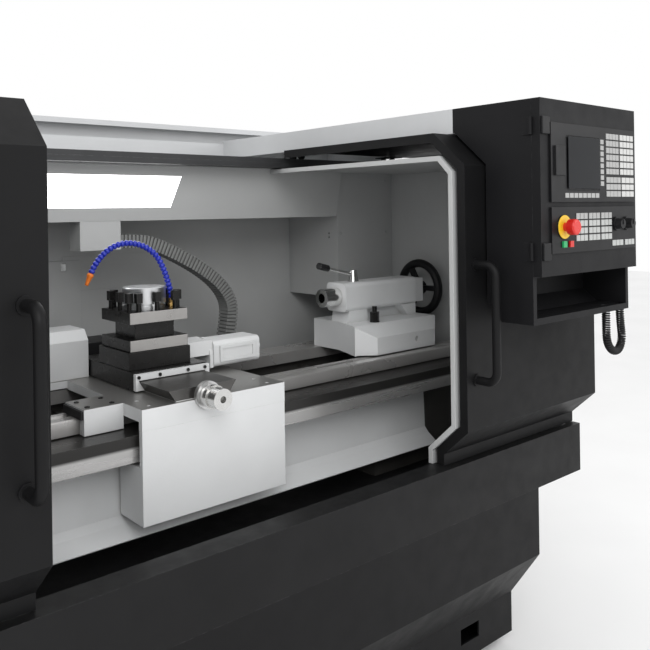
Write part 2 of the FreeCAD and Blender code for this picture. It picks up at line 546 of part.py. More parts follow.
# ---------------------------------------------------------------- tailstock
def tailstock_body():
    axis_y = AXIS_Y
    barrel_z0 = AXIS_Z - 48
    barrel_z1 = AXIS_Z + 46
    barrel = box(TAIL_BODY_X, TAIL_END_X, axis_y - 48, axis_y + 48, barrel_z0, barrel_z1)
    corners = [e for e in barrel.Edges if e.BoundBox.XLength > 300]
    barrel = barrel.makeFillet(16.0, corners)
    foot_z = WAY_Z + SLIDE_GAP
    base_top = TAIL_BASE_TOP
    base_outline = [(TAIL_BASE_Y, foot_z), (TAIL_BASE_Y, base_top - 36), (-8.0, base_top), (238.0, base_top),
                    (238.0, foot_z)]
    slab = prism_x(base_outline, TAIL_BASE_X0, TAIL_BASE_X1)
    corner_x = 55.0
    corner_y = TAIL_BASE_Y + 46
    plan = [(TAIL_BASE_X0, corner_y), (TAIL_BASE_X0 + corner_x, TAIL_BASE_Y), (TAIL_BASE_X1 - corner_x,
                                                                               TAIL_BASE_Y),
            (TAIL_BASE_X1, corner_y), (TAIL_BASE_X1, 239.0), (TAIL_BASE_X0 + 42, 239.0),
             (TAIL_BASE_X0 + 42, 110.0)]
    base = slab.common(prism_z(plan, foot_z - 1, base_top + 1))
    front_web = prism_y([(735.0, base_top), (830.0, base_top), (824.0, barrel_z0 + 2),
                         (742.0, barrel_z0 + 2)],
                        axis_y - 40, axis_y + 40)
    rear_web = prism_y([(1015.0, base_top), (TAIL_END_X, base_top), (TAIL_END_X, barrel_z0 + 2),
                        (985.0, barrel_z0 + 2)], axis_y - 44, axis_y + 44)
    mid_web = box(800.0, 1030.0, axis_y - 8, axis_y + 8, base_top - 1, barrel_z0 + 2)
    end_cap = box(TAIL_END_X, TAIL_END_X + TAIL_CAP_LEN, axis_y - 42, axis_y + 42, AXIS_Z - 42, AXIS_Z + 40)
    bore = rod("x", TAIL_BODY_X - 1, axis_y, AXIS_Z, QUILL_R + RUN_FIT, 300)
    screw_bore = rod("x", TAIL_BODY_X + 250, axis_y, AXIS_Z, 12 + SLIDE_GAP, 200)
    room = box(TAIL_BASE_X0 - 1, TAIL_BASE_X1 + 1, -98.0, -13.0, WAY_Z - 1, WAY_Z + 3)
    lever_hole = rod("z", TAIL_LEVER_X, axis_y, AXIS_Z + QUILL_R + 2, 10 + RUN_FIT, 60)
    body = join(barrel, base, front_web, rear_web, mid_web, end_cap)
    clamp_hole = rod("z", TAIL_CLAMP_X, 20.0, 930.0, 9 + RUN_FIT, 60)
    front_bolt = rod("y", 930.0, TAIL_BASE_Y - 1, 897.0, 8, 14)
    return minus(body, bore, screw_bore, room, lever_hole, clamp_hole, front_bolt)


def tailstock_clamp():
    stud = rod("z", TAIL_CLAMP_X, 20.0, 931.0, 9, 47)
    nut = hex_prism_z(TAIL_CLAMP_X, 20.0, 960.0, 990.0, 27)
    cap = rod("z", TAIL_CLAMP_X, 20.0, 990.0, 8, 18)
    washer = tube("z", TAIL_CLAMP_X, 20.0, 956.0 + SLIDE_GAP, 16, 8, 4)
    return join(stud, nut, cap, washer)


def quill():
    body = rod("x", QUILL_TIP_X, AXIS_Y, AXIS_Z, QUILL_R, 300)
    taper = Part.makeCone(15.6, 12.0, 70.0, FreeCAD.Vector(QUILL_TIP_X, AXIS_Y, AXIS_Z),
                          FreeCAD.Vector(1, 0, 0))
    bore = rod("x", QUILL_TIP_X + 70, AXIS_Y, AXIS_Z, 12 + SLIDE_GAP, 260)
    return minus(body, taper, bore)


def handwheel():
    x = TAIL_END_X + TAIL_CAP_LEN + SLIDE_GAP
    hub = rod("x", x, AXIS_Y, AXIS_Z, 24, 42)
    shaft = rod("x", QUILL_TIP_X + 180, AXIS_Y, AXIS_Z, 12, x - QUILL_TIP_X - 180)
    rim = Part.makeTorus(88.0, 15.0, FreeCAD.Vector(x + 30, AXIS_Y, AXIS_Z), FreeCAD.Vector(1, 0, 0))
    spokes = []
    for turn in (90, 210, 330):
        arm = box(x + 22, x + 38, AXIS_Y - 9, AXIS_Y + 9, AXIS_Z + 10, AXIS_Z + 82)
        spokes.append(turned_about_axis(arm, turn))
    return join(hub, shaft, rim, *spokes)


def quill_lever():
    stud = rod("z", TAIL_LEVER_X, AXIS_Y, AXIS_Z + QUILL_R + 6, 10, 30)
    post = Part.makeCone(19.0, 12.5, 37.0, FreeCAD.Vector(TAIL_LEVER_X, AXIS_Y, AXIS_Z + 46 + SLIDE_GAP))
    tip = FreeCAD.Vector(648.0, AXIS_Y - 22, AXIS_Z + 103)
    root = FreeCAD.Vector(TAIL_LEVER_X, AXIS_Y, AXIS_Z + 68)
    run = tip - root
    arm = Part.makeCylinder(5.5, run.Length, root, run)
    knob_len = 45.0
    unit = FreeCAD.Vector(run).normalize()
    knob = Part.makeCylinder(11.0, knob_len, tip - unit * knob_len * 0.5, unit)
    return join(stud, post, arm, knob)


# ---------------------------------------------------------------- enclosure
def hood(side):
    x_in = HOOD_END_X
    x_out = HALF_LENGTH - 8
    skin = prism_x(strip(HOOD_PROFILE, 3.0), x_in, x_out)
    rim = prism_x(strip(HOOD_PROFILE, HOOD_RIM), x_in, x_in + 3)
    end_outline = [(REAR_WALL_Y - 4, TRAY_TOP_Z), (REAR_WALL_Y - 4, HOOD_TOP_Z)] + HOOD_PROFILE[1:]
    end_wall = prism_x(end_outline, x_out, x_out + 4)
    shape = join(skin, rim, end_wall)
    if side > 0:
        return shape
    bar_hole = rod("x", -HALF_LENGTH, AXIS_Y, AXIS_Z, 40, 20)
    return shape.mirror(FreeCAD.Vector(0, 0, 0), FreeCAD.Vector(1, 0, 0)).cut(bar_hole)


def rear_enclosure():
    top = HOOD_TOP_Z
    x1 = HALF_LENGTH - 4
    back = box(-x1, x1, REAR_WALL_Y - 4, REAR_WALL_Y, TRAY_TOP_Z, top)
    roof = box(-x1, x1, 286.0, REAR_WALL_Y, top, top + SHEET)
    return join(back, roof)


def door_rails():
    foot = box(-1216.0, 1216.0, RAIL_Y0, RAIL_Y1, HOOD_TOP_Z + SHEET, 1485.0)
    flats = [box(-1216.0, 1216.0, y0, y1, 1485.0, RAIL_TOP_Z) for y0, y1 in ((222.0, 250.0), (268.0, 296.0))]
    return join(foot, *flats)


def roof_covers():
    covers = []
    for side in (-1, 1):
        outline = [(ROOF_EDGE_Y, ROOF_Z + 3), (ROOF_EDGE_Y, COVER_TOP_Z), (COVER_BACK_Y, COVER_TOP_Z),
                   (COVER_BACK_Y, ROOF_Z + 3)]
        x0, x1 = sorted((side * COVER_X, side * HALF_LENGTH))
        shell = prism_x(outline, x0, x1)
        hollow = box(x0 + 3, x1 - 3, ROOF_EDGE_Y + 3, COVER_BACK_Y - 3, ROOF_Z, COVER_TOP_Z - 3)
        covers.append(shell.cut(hollow))
        post_x0, post_x1 = sorted((side * (HALF_LENGTH - 8), side * HALF_LENGTH))
        covers.append(box(post_x0, post_x1, 360.0, COVER_BACK_Y, 1469.0, COVER_TOP_Z - 3))
    lip = strip([(COVER_BACK_Y, BEAM_TOP_Z - 15), (COVER_BACK_Y, BEAM_TOP_Z), (BEAM_BACK_Y, BEAM_TOP_Z),
                 (BEAM_BACK_Y, 1469.0), (COVER_BACK_Y, 1469.0), (COVER_BACK_Y, COVER_TOP_Z - 10)], 3.0)
    beam = prism_x(lip, -HALF_LENGTH, HALF_LENGTH)
    return join(beam, *covers)


def light_box():
    outline = [(290.0, HOOD_TOP_Z), (REAR_WALL_Y - 4, HOOD_TOP_Z), (REAR_WALL_Y - 4, 1330.0), (540.0, 1303.0),
               (323.0, 1303.0)]
    outer = prism_x(outline, -1100.0, 920.0)
    inner = prism_x([(300.0, 1455.0), (600.0, 1455.0), (600.0, 1340.0), (535.0, 1313.0),
                     (334.0, 1313.0)], -1090.0, 910.0)
    return minus(outer, inner, led_window())


LED_X0 = -330.0
LED_X1 = 257.0
LED_Z0 = 1342.0
LED_Z1 = 1437.0


def led_window():
    outline = [(LED_X0, LED_Z0), (LED_X1 - 29, LED_Z0), (LED_X1, LED_Z1), (LED_X0, LED_Z1)]
    return prism_y(outline, 280.0, 330.0)


def led_panel():
    slope = [(294.0, 1450.0), (319.5, 1325.0), (327.5, 1325.0), (302.0, 1450.0)]
    slab = prism_x(slope, LED_X0 - 10, LED_X1 + 10)
    return slab.common(led_window())


def rear_column():
    column = box(924.0, HALF_LENGTH - 8, 323.0, REAR_WALL_Y - 4, 1004.0, HOOD_TOP_Z)
    room = box(928.0, HALF_LENGTH - 12, 327.0, REAR_WALL_Y - 8, 1008.0, HOOD_TOP_Z - 4)
    holes = [rod("x", 920.0, 370.0, z, 4, 12) for z in (1225.0, 1240.0)]
    duct = box(-58.0, 66.0, 324.0, 400.0, 1219.0, 1303.0)
    cover = box(-330.0, 60.0, REAR_WALL_Y - 12, REAR_WALL_Y - 4, 870.0, 1176.0)
    latch = box(-292.0, -262.0, REAR_WALL_Y - 20, REAR_WALL_Y - 12, 1120.0, 1158.0)
    return group([minus(column, room, *holes), duct, join(cover, latch)])


CHAIN_PATH = [(66.0, 1262.0), (130.0, 1262.0), (190.0, 1250.0), (323.0, 1186.0), (428.0, 1115.0),
              (482.0, 1038.0),
              (480.0, 960.0), (462.0, SADDLE_TOP_Z + 0.5)]
CHAIN_Y = 354.0


def cable_chain():
    outline = strip(CHAIN_PATH, -40.0)
    return prism_y(outline, CHAIN_Y - 27.0, CHAIN_Y + 27.0)


def electrical_cabinet():
    outer = box(-560.0, 560.0, REAR_WALL_Y, 745.0, 660.0, 1420.0)
    room = box(-557.0, 557.0, REAR_WALL_Y + 3, 742.0, 663.0, 1417.0)
    drives = [box(x, x + 70, REAR_WALL_Y + 3, 700.0, 1050.0, 1290.0) for x in (-480.0, -400.0, -320.0,
                                                                               -180.0)]
    plc = box(-60.0, 260.0, REAR_WALL_Y + 3, 680.0, 1090.0, 1230.0)
    transformer = box(-460.0, -260.0, REAR_WALL_Y + 3, 735.0, 663.0, 840.0)
    relays = [box(60 + 30 * i, 82 + 30 * i, REAR_WALL_Y + 3, 680.0, 880.0, 960.0) for i in range(12)]
    door = box(-552.0, 552.0, 745.0, 750.0, 668.0, 1412.0)
    shell = join(outer.cut(room), door)
    return join(shell, transformer, plc, *drives, *relays)


def coolant_pump():
    plate = box(1020.0, 1180.0, 270.0, 430.0, TRAY_FLOOR_Z - 12, TRAY_FLOOR_Z)
    body = rod("z", 1100.0, 350.0, TRAY_FLOOR_Z - 190, 62, 178)
    intake = rod("z", 1100.0, 350.0, TRAY_FLOOR_Z - 290, 40, 100)
    return join(body, plate, intake)


# ---------------------------------------------------------------- sliding doors
HANDLE_OUT = 64.0
HANDLE_TOP_Z = 1180.0
HANDLE_LENGTH = 300.0
WHEEL_R = 9.0


def door(x0, handle_x):
    x1 = x0 + DOOR_WIDTH
    skin = prism_x(strip(DOOR_PROFILE, SHEET), x0, x1)
    ribs = [prism_x(strip(DOOR_PROFILE, LIP), a, a + 3) for a in (x0, x1 - 3)]
    rollers = []
    for x in (x0 + 90, x1 - 90):
        rollers.append(box(x - 30, x + 30, 212.0, 296.0, 1519.0, 1523.0))
        for y in (228.0, 274.0):
            rollers.append(box(x - 4, x + 4, y, y + 16, RAIL_TOP_Z + WHEEL_R, 1520.0))
            rollers.append(rod("y", x, y, RAIL_TOP_Z + WHEEL_R + SLIDE_GAP, WHEEL_R, 16))
    low = HANDLE_TOP_Z - HANDLE_LENGTH
    out_y = DOOR_Y - HANDLE_OUT
    bar = swept_tube([(handle_x, DOOR_Y, low), (handle_x, out_y, low), (handle_x, out_y, HANDLE_TOP_Z),
                      (handle_x, DOOR_Y, HANDLE_TOP_Z)], 11.0, 32.0)
    pads = [rod("y", handle_x, DOOR_Y - 5, z, 16, 5) for z in (low, HANDLE_TOP_Z)]
    return join(skin, bar, *ribs, *rollers, *pads)


# ---------------------------------------------------------------- console
def console_body():
    outline = [(CONSOLE_FRONT_Y, COVER_TOP_Z), (ROOF_EDGE_Y, COVER_TOP_Z), (ROOF_EDGE_Y, ROOF_Z + 5),
               (-437.0, ROOF_Z + 5), (-540.0, 1441.0), (-540.0, 1080.0), (-585.0, SHELF_BOTTOM_Z),
               (CONSOLE_FRONT_Y, SHELF_BOTTOM_Z)]
    body = prism_x(outline, COVER_X, CONSOLE_RIGHT_X)
    wall = 4.0
    upper = prism_x([(CONSOLE_FRONT_Y - 1, COVER_TOP_Z - wall), (ROOF_EDGE_Y - wall, COVER_TOP_Z - wall),
                     (ROOF_EDGE_Y - wall, ROOF_Z + 5 + wall), (-440.0, ROOF_Z + 5 + wall), (-545.0, 1444.0),
                     (-545.0, PANEL_BOTTOM_Z + wall), (CONSOLE_FRONT_Y - 1, PANEL_BOTTOM_Z + wall)],
                    COVER_X + wall, CONSOLE_RIGHT_X - wall)
    shelf = prism_x([(CONSOLE_FRONT_Y - 1, PANEL_BOTTOM_Z - wall), (-545.0, PANEL_BOTTOM_Z - wall),
                     (-545.0, 1082.0), (-588.0, SHELF_BOTTOM_Z + 16), (CONSOLE_FRONT_Y - 1,
                                                                       SHELF_BOTTOM_Z + 16)],
                    COVER_X + 14, CONSOLE_RIGHT_X - 14)
    cord_holes = [rod("z", CORD_X0, CORD_Y, SHELF_BOTTOM_Z - 1, CORD_R + 1.2, 18),
                  rod("z", CORD_X1, CORD_Y, SHELF_BOTTOM_Z - 1, CORD_R + 1.2, 18)]
    hinges = [join(box(COVER_X - 3, COVER_X, CONSOLE_FRONT_Y, CONSOLE_FRONT_Y + 24, z, z + 44),
                   rod("z", COVER_X - 5, CONSOLE_FRONT_Y, z, 5, 44)) for z in HINGE_Z]
    return join(minus(body, upper, shelf, *cord_holes), *hinges)


CORD_R = 12.0
HINGE_Z = (1193.0, 1507.0)
CORD_Y = -662.0
CORD_X0 = 1057.0
CORD_X1 = 1133.0


def curly_cord():
    top = SHELF_BOTTOM_Z + 9
    route = [(CORD_X0, top), (CORD_X0, 985.0), (1060.0, 940.0), (1088.0, 912.0), (1126.0, 910.0),
             (1147.0, 942.0), (1137.0, 990.0), (CORD_X1, top)]
    return swept_tube([(x, CORD_Y, z) for x, z in route], CORD_R)


def console_door():
    plate = box(COVER_X, CONSOLE_RIGHT_X, CONSOLE_FRONT_Y - PANEL_THICK, CONSOLE_FRONT_Y - SLIDE_GAP,
                PANEL_BOTTOM_Z, COVER_TOP_Z)
    room = box(COVER_X + 6, CONSOLE_RIGHT_X - 6, CONSOLE_FRONT_Y - PANEL_THICK + 4, CONSOLE_FRONT_Y,
               PANEL_BOTTOM_Z + 6, COVER_TOP_Z - 6)
    reliefs = [rod("z", COVER_X - 5, CONSOLE_FRONT_Y, z - 1, 5 + SLIDE_GAP, 46) for z in HINGE_Z]
    back_holes = [rod("y", ESTOP_X, PLATE_Y - 1, ESTOP_Z, 14, 6)]
    back_holes += [rod("y", x, PLATE_Y - 1, KNOB_Z, 6, 6) for x in KNOB_X]
    back_holes += [box(x - 10, x + 10, PLATE_Y - 1, PLATE_Y + 5, BUTTON_Z - 10, BUTTON_Z + 10)
                   for x in (START_X, STOP_X)]
    return minus(plate, room, *reliefs, *back_holes)


PLATE_Y = CONSOLE_FRONT_Y - PANEL_THICK
PLATE_X0 = COVER_X + 38
PLATE_X1 = CONSOLE_RIGHT_X - 16
UNIT_Z0 = 1338.0
UNIT_Z1 = 1538.0
KEYS_Z0 = 1209.0
KEYS_Z1 = 1325.0
ESTOP_X = 768.0
ESTOP_Z = 1275.0
BUTTON_Z = 1231.0
START_X = 768.0
STOP_X = 799.0
KNOB_X = (1027.0, 1083.0)
KNOB_Z = 1278.0


def controller_unit():
    front = PLATE_Y - 6
    plate = box(PLATE_X0, PLATE_X1, front, PLATE_Y, UNIT_Z0, UNIT_Z1)
    window = box(786.0, 944.0, front - 1, front + 2, 1368.0, 1508.0)
    glass = box(786.0, 944.0, front + 1.2, front + 2, 1368.0, 1508.0)
    flap = box(728.0, 776.0, front - 3, front, 1405.0, 1480.0)
    return minus(join(plate, flap), window).fuse(glass)


def control_plate():
    front = PLATE_Y - 6
    plate = box(PLATE_X0, PLATE_X1, front, PLATE_Y, KEYS_Z0, KEYS_Z1)
    disc = rod("y", ESTOP_X, front - 3, ESTOP_Z, 30, 3)
    holes = [rod("y", ESTOP_X, front - 4, ESTOP_Z, 11 + RUN_FIT, 12)]
    for x in KNOB_X:
        holes.append(rod("y", x, front - 1, KNOB_Z, 4 + RUN_FIT, 8))
    for x in (START_X, STOP_X):
        holes.append(box(x - 8 - SLIDE_GAP, x + 8 + SLIDE_GAP, front - 1, PLATE_Y + 1,
                         BUTTON_Z - 8 - SLIDE_GAP,
                         BUTTON_Z + 8 + SLIDE_GAP))
    return minus(join(plate, disc), *holes)


def key_row(x0, z, count, pitch, width, height):
    front = PLATE_Y - 6
    return [box(x0 + i * pitch, x0 + i * pitch + width, front - 1.5, front, z,
                z + height) for i in range(count)]


def console_keys():
    keys = []
    for row in range(8):
        keys += key_row(950.0, 1493.0 - row * 16, 1, 20.0, 16.0, 12.0)
    keys += key_row(776.0, 1349.0, 8, 21.0, 17.0, 12.0)
    for row in range(6):
        keys += key_row(980.0, 1508.0 - row * 19, 4, 17.0, 15.0, 15.0)
        keys += key_row(1054.0, 1508.0 - row * 19, 4, 19.0, 16.0, 15.0)
    for row in range(3):
        keys += key_row(980.0, 1390.0 - row * 19, 4, 19.0, 17.0, 15.0)
        keys += key_row(1062.0, 1390.0 - row * 19, 3, 23.0, 20.0, 15.0)
    for bank in range(3):
        for row in range(4):
            keys += key_row(826.0 + bank * 62, 1294.0 - row * 19, 3, 19.0, 16.0, 15.0)
    keys += key_row(1008.0, 1218.0, 3, 20.0, 17.0, 15.0)
    keys += key_row(1076.0, 1218.0, 3, 18.0, 15.0, 15.0)
    return group(keys)


def estop_button():
    front = PLATE_Y - 9
    stem = rod("y", ESTOP_X, front - 14, ESTOP_Z, 11, 22)
    cap = rod("y", ESTOP_X, front - 36, ESTOP_Z, 20, 22)
    cap = cap.makeFillet(5.0, [e for e in cap.Edges if e.BoundBox.YMax < front - 35.9])
    return join(stem, cap)


def push_button(x):
    return box(x - 8, x + 8, PLATE_Y - 11, PLATE_Y - 1, BUTTON_Z - 8, BUTTON_Z + 8)


def rotary_knob(x):
    front = PLATE_Y - 6
    stem = rod("y", x, front - 20, KNOB_Z, 4, 25)
    skirt = rod("y", x, front - 6 - SLIDE_GAP, KNOB_Z, 19, 6)
    body = Part.makeCone(13.0, 15.0, 17.0, FreeCAD.Vector(x, front - 23, KNOB_Z), FreeCAD.Vector(0, 1, 0))
    pointer = box(x - 1.5, x + 1.5, front - 25, front - 22, KNOB_Z - 2, KNOB_Z + 12)
    return join(stem, skirt, body, pointer)


parts = {
    "base_cabinet": base_cabinet(),
    "levelling_feet": levelling_feet(),
    "coolant_tray": coolant_tray(),
    "coolant_pump": coolant_pump(),
    "chip_pan": chip_pan(),
    "screw_guard": screw_guard(),
    "bed": bed(),
    "headstock": headstock(),
    "main_motor": main_motor(),
    "drive_belt": drive_belt(),
    "z_motor": z_motor(),
    "rear_enclosure": rear_enclosure(),
    "left_hood": hood(-1),
    "right_hood": hood(1),
    "roof_covers": roof_covers(),
    "door_rails": door_rails(),
    "light_box": light_box(),
    "led_panel": led_panel(),
    "rear_column": rear_column(),
    "cable_chain": cable_chain(),
    "electrical_cabinet": electrical_cabinet(),
    "console_body": console_body(),
    "curly_cord": curly_cord(),
    "spindle": spindle(),
    "chuck_body": chuck_body(),
    "chuck_jaw_1": chuck_jaw(0),
    "chuck_jaw_2": chuck_jaw(120),
    "chuck_jaw_3": chuck_jaw(240),
    "motor_pulley": motor_pulley(),
    "z_ballscrew": z_ballscrew(),
    "saddle": saddle(),
    "apron": apron(),
    "way_wipers": way_wipers(),
    "rear_cover": rear_cover(),
    "x_motor": x_motor(),
    "x_ballscrew": x_ballscrew(),
    "cross_slide": cross_slide(),
    "slide_end_plate": slide_end_plate(),
    "turret_base": turret_base(),
    "turret_motor": turret_motor(),
    "turret_head": turret_head(),
    "turret_cap": turret_cap(),
    "turret_screws": turret_screws(),
    "coolant_hose": coolant_hose(),
    "tailstock_body": tailstock_body(),
    "tailstock_clamp": tailstock_clamp(),
    "quill": quill(),
    "handwheel": handwheel(),
    "quill_lever": quill_lever(),
    "left_door": door(LEFT_DOOR_EDGE_X - DOOR_WIDTH, LEFT_DOOR_EDGE_X - 39),
    "right_door": door(DOOR_OPEN_X, DOOR_OPEN_X + 39),
    "console_door": console_door(),
    "controller_unit": controller_unit(),
    "control_plate": control_plate(),
    "console_keys": console_keys(),
    "estop_button": estop_button(),
    "start_button": push_button(START_X),
    "stop_button": push_button(STOP_X),
    "feed_knob": rotary_knob(KNOB_X[0]),
    "spindle_knob": rotary_knob(KNOB_X[1]),
}
for name, shape in parts.items():
    save(name, shape)
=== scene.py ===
"""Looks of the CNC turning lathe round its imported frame: materials, cords, fittings, light and camera."""
import math

import bmesh
import bpy
from mathutils import Matrix, Vector


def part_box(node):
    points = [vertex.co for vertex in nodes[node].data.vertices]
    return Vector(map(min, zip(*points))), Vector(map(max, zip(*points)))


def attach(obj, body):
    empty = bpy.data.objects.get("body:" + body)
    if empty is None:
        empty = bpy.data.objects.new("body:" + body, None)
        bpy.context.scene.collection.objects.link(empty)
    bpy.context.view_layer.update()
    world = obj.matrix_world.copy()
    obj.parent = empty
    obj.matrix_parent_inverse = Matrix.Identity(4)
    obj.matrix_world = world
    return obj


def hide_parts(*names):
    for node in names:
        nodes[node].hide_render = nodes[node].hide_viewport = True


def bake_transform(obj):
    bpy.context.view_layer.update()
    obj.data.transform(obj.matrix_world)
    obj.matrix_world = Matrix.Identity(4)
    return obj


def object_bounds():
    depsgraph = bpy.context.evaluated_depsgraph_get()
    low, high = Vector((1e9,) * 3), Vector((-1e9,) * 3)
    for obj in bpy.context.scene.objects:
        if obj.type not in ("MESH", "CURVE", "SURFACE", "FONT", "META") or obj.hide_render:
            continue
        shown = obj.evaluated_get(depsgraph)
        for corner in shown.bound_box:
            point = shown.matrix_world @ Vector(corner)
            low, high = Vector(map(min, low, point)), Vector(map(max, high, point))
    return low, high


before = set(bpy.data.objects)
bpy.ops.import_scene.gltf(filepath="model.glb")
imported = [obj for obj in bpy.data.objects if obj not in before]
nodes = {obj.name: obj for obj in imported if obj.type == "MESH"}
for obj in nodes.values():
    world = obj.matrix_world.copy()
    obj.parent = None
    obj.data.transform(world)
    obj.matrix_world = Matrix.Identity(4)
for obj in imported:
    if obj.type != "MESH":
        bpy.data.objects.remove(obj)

cad_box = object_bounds()
collection = bpy.context.scene.collection


# ---------------------------------------------------------------- mesh helpers
def add_mesh(name, bm, material, smooth=False):
    """A new object from a bmesh whose vertices are already in the row frame."""
    mesh = bpy.data.meshes.new(name)
    bm.to_mesh(mesh)
    bm.free()
    for face in mesh.polygons:
        face.use_smooth = smooth
    obj = bpy.data.objects.new(name, mesh)
    obj.data.materials.append(material)
    collection.objects.link(obj)
    return obj


def add_box(bm, low, high, turn=None):
    """A closed box between two corners, moved by turn (a 4x4) if there is one."""
    corners = [Vector((x, y, z)) for x in (low[0], high[0]) for y in (low[1], high[1])
               for z in (low[2], high[2])]
    if turn is not None:
        corners = [turn @ c for c in corners]
    v = [bm.verts.new(c) for c in corners]
    for face in ((0, 1, 3, 2), (4, 6, 7, 5), (0, 4, 5, 1), (2, 3, 7, 6), (0, 2, 6, 4), (1, 5, 7, 3)):
        bm.faces.new([v[i] for i in face])


def basis(origin, axis, up=Vector((0, 0, 1))):
    """A 4x4 whose local Z lies along axis."""
    z = Vector(axis).normalized()
    side = up.cross(z)
    if side.length < 1e-4:
        side = Vector((1, 0, 0)).cross(z)
    x = side.normalized()
    y = z.cross(x)
    return Matrix(((x.x, y.x, z.x, origin[0]), (x.y, y.y, z.y, origin[1]), (x.z, y.z, z.z, origin[2]),
                   (0, 0, 0, 1)))


def add_turned(bm, place, profile, steps=24, start=0.0, sweep=math.tau):
    """A solid of revolution about place's local Z, from (radius, height) points, closed at both ends."""
    rings = []
    for radius, height in profile:
        if radius < 1e-6:
            rings.append([bm.verts.new(place @ Vector((0, 0, height)))])
            continue
        ring = []
        for i in range(steps):
            angle = start + sweep * i / steps
            ring.append(bm.verts.new(place @ Vector((radius * math.cos(angle), radius * math.sin(angle),
                                                     height))))
        rings.append(ring)
    for low, high in zip(rings, rings[1:]):
        for i in range(steps):
            j = (i + 1) % steps
            if len(low) == 1 and len(high) == 1:
                continue
            if len(low) == 1:
                bm.faces.new((low[0], high[j], high[i]))
            elif len(high) == 1:
                bm.faces.new((low[i], low[j], high[0]))
            else:
                bm.faces.new((low[i], low[j], high[j], high[i]))


def closed(profile):
    """The profile with its two ends brought to the axis."""
    return [(0.0, profile[0][1])] + list(profile) + [(0.0, profile[-1][1])]


def add_socket_screw(bm, origin, axis, radius, height, hole=0.5, sides=6, steps=24):
    """A cylinder-head screw with a hexagonal socket."""
    place = basis(origin, axis)
    edge = radius * 0.12
    profile = [(radius, 0.0), (radius, height - edge), (radius - edge, height)]
    angles = [math.tau * i / steps for i in range(steps)]
    rings = []
    for r, h in profile:
        rings.append([bm.verts.new(place @ Vector((r * math.cos(a), r * math.sin(a), h))) for a in angles])
    hexagon = [(radius * hole, height), (radius * hole, height * 0.45)]
    for r, h in hexagon:
        ring = []
        for angle in angles:
            sector = (angle % (math.tau / sides)) - math.pi / sides
            flat = r * math.cos(math.pi / sides) / math.cos(sector)
            ring.append(bm.verts.new(place @ Vector((flat * math.cos(angle), flat * math.sin(angle), h))))
        rings.append(ring)
    for low, high in zip(rings, rings[1:]):
        for i in range(steps):
            j = (i + 1) % steps
            bm.faces.new((low[i], low[j], high[j], high[i]))
    bm.faces.new(list(reversed(rings[0])))
    bm.faces.new(rings[-1])


def nurbs_route(points):
    """Points read from the smooth line of a route: a NURBS spline with the route as its control points."""
    curve = bpy.data.curves.new("route", "CURVE")
    curve.dimensions = "3D"
    curve.resolution_u = 24
    spline = curve.splines.new("NURBS")
    spline.points.add(len(points) - 1)
    for point, place in zip(spline.points, points):
        point.co = (*place, 1.0)
    spline.order_u = 3
    spline.use_endpoint_u = True
    holder = bpy.data.objects.new("route", curve)
    mesh = bpy.data.meshes.new_from_object(holder)
    line = [v.co.copy() for v in mesh.vertices]
    bpy.data.objects.remove(holder)
    bpy.data.curves.remove(curve)
    bpy.data.meshes.remove(mesh)
    return line


def walk(line):
    """Length along a line at each of its points."""
    lengths = [0.0]
    for a, b in zip(line, line[1:]):
        lengths.append(lengths[-1] + (b - a).length)
    return lengths


def at_length(line, lengths, s):
    """(point, direction) at length s along a line."""
    s = min(max(s, 0.0), lengths[-1])
    for i in range(1, len(line)):
        if lengths[i] >= s:
            break
    span = max(lengths[i] - lengths[i - 1], 1e-9)
    t = (s - lengths[i - 1]) / span
    a = (line[i] - line[i - 1]).normalized()
    before = (line[i - 1] - line[i - 2]).normalized() if i > 1 else a
    after = (line[i + 1] - line[i]).normalized() if i + 1 < len(line) else a
    direction = (before + a).normalized().lerp((a + after).normalized(), t)
    return line[i - 1].lerp(line[i], t), direction.normalized()


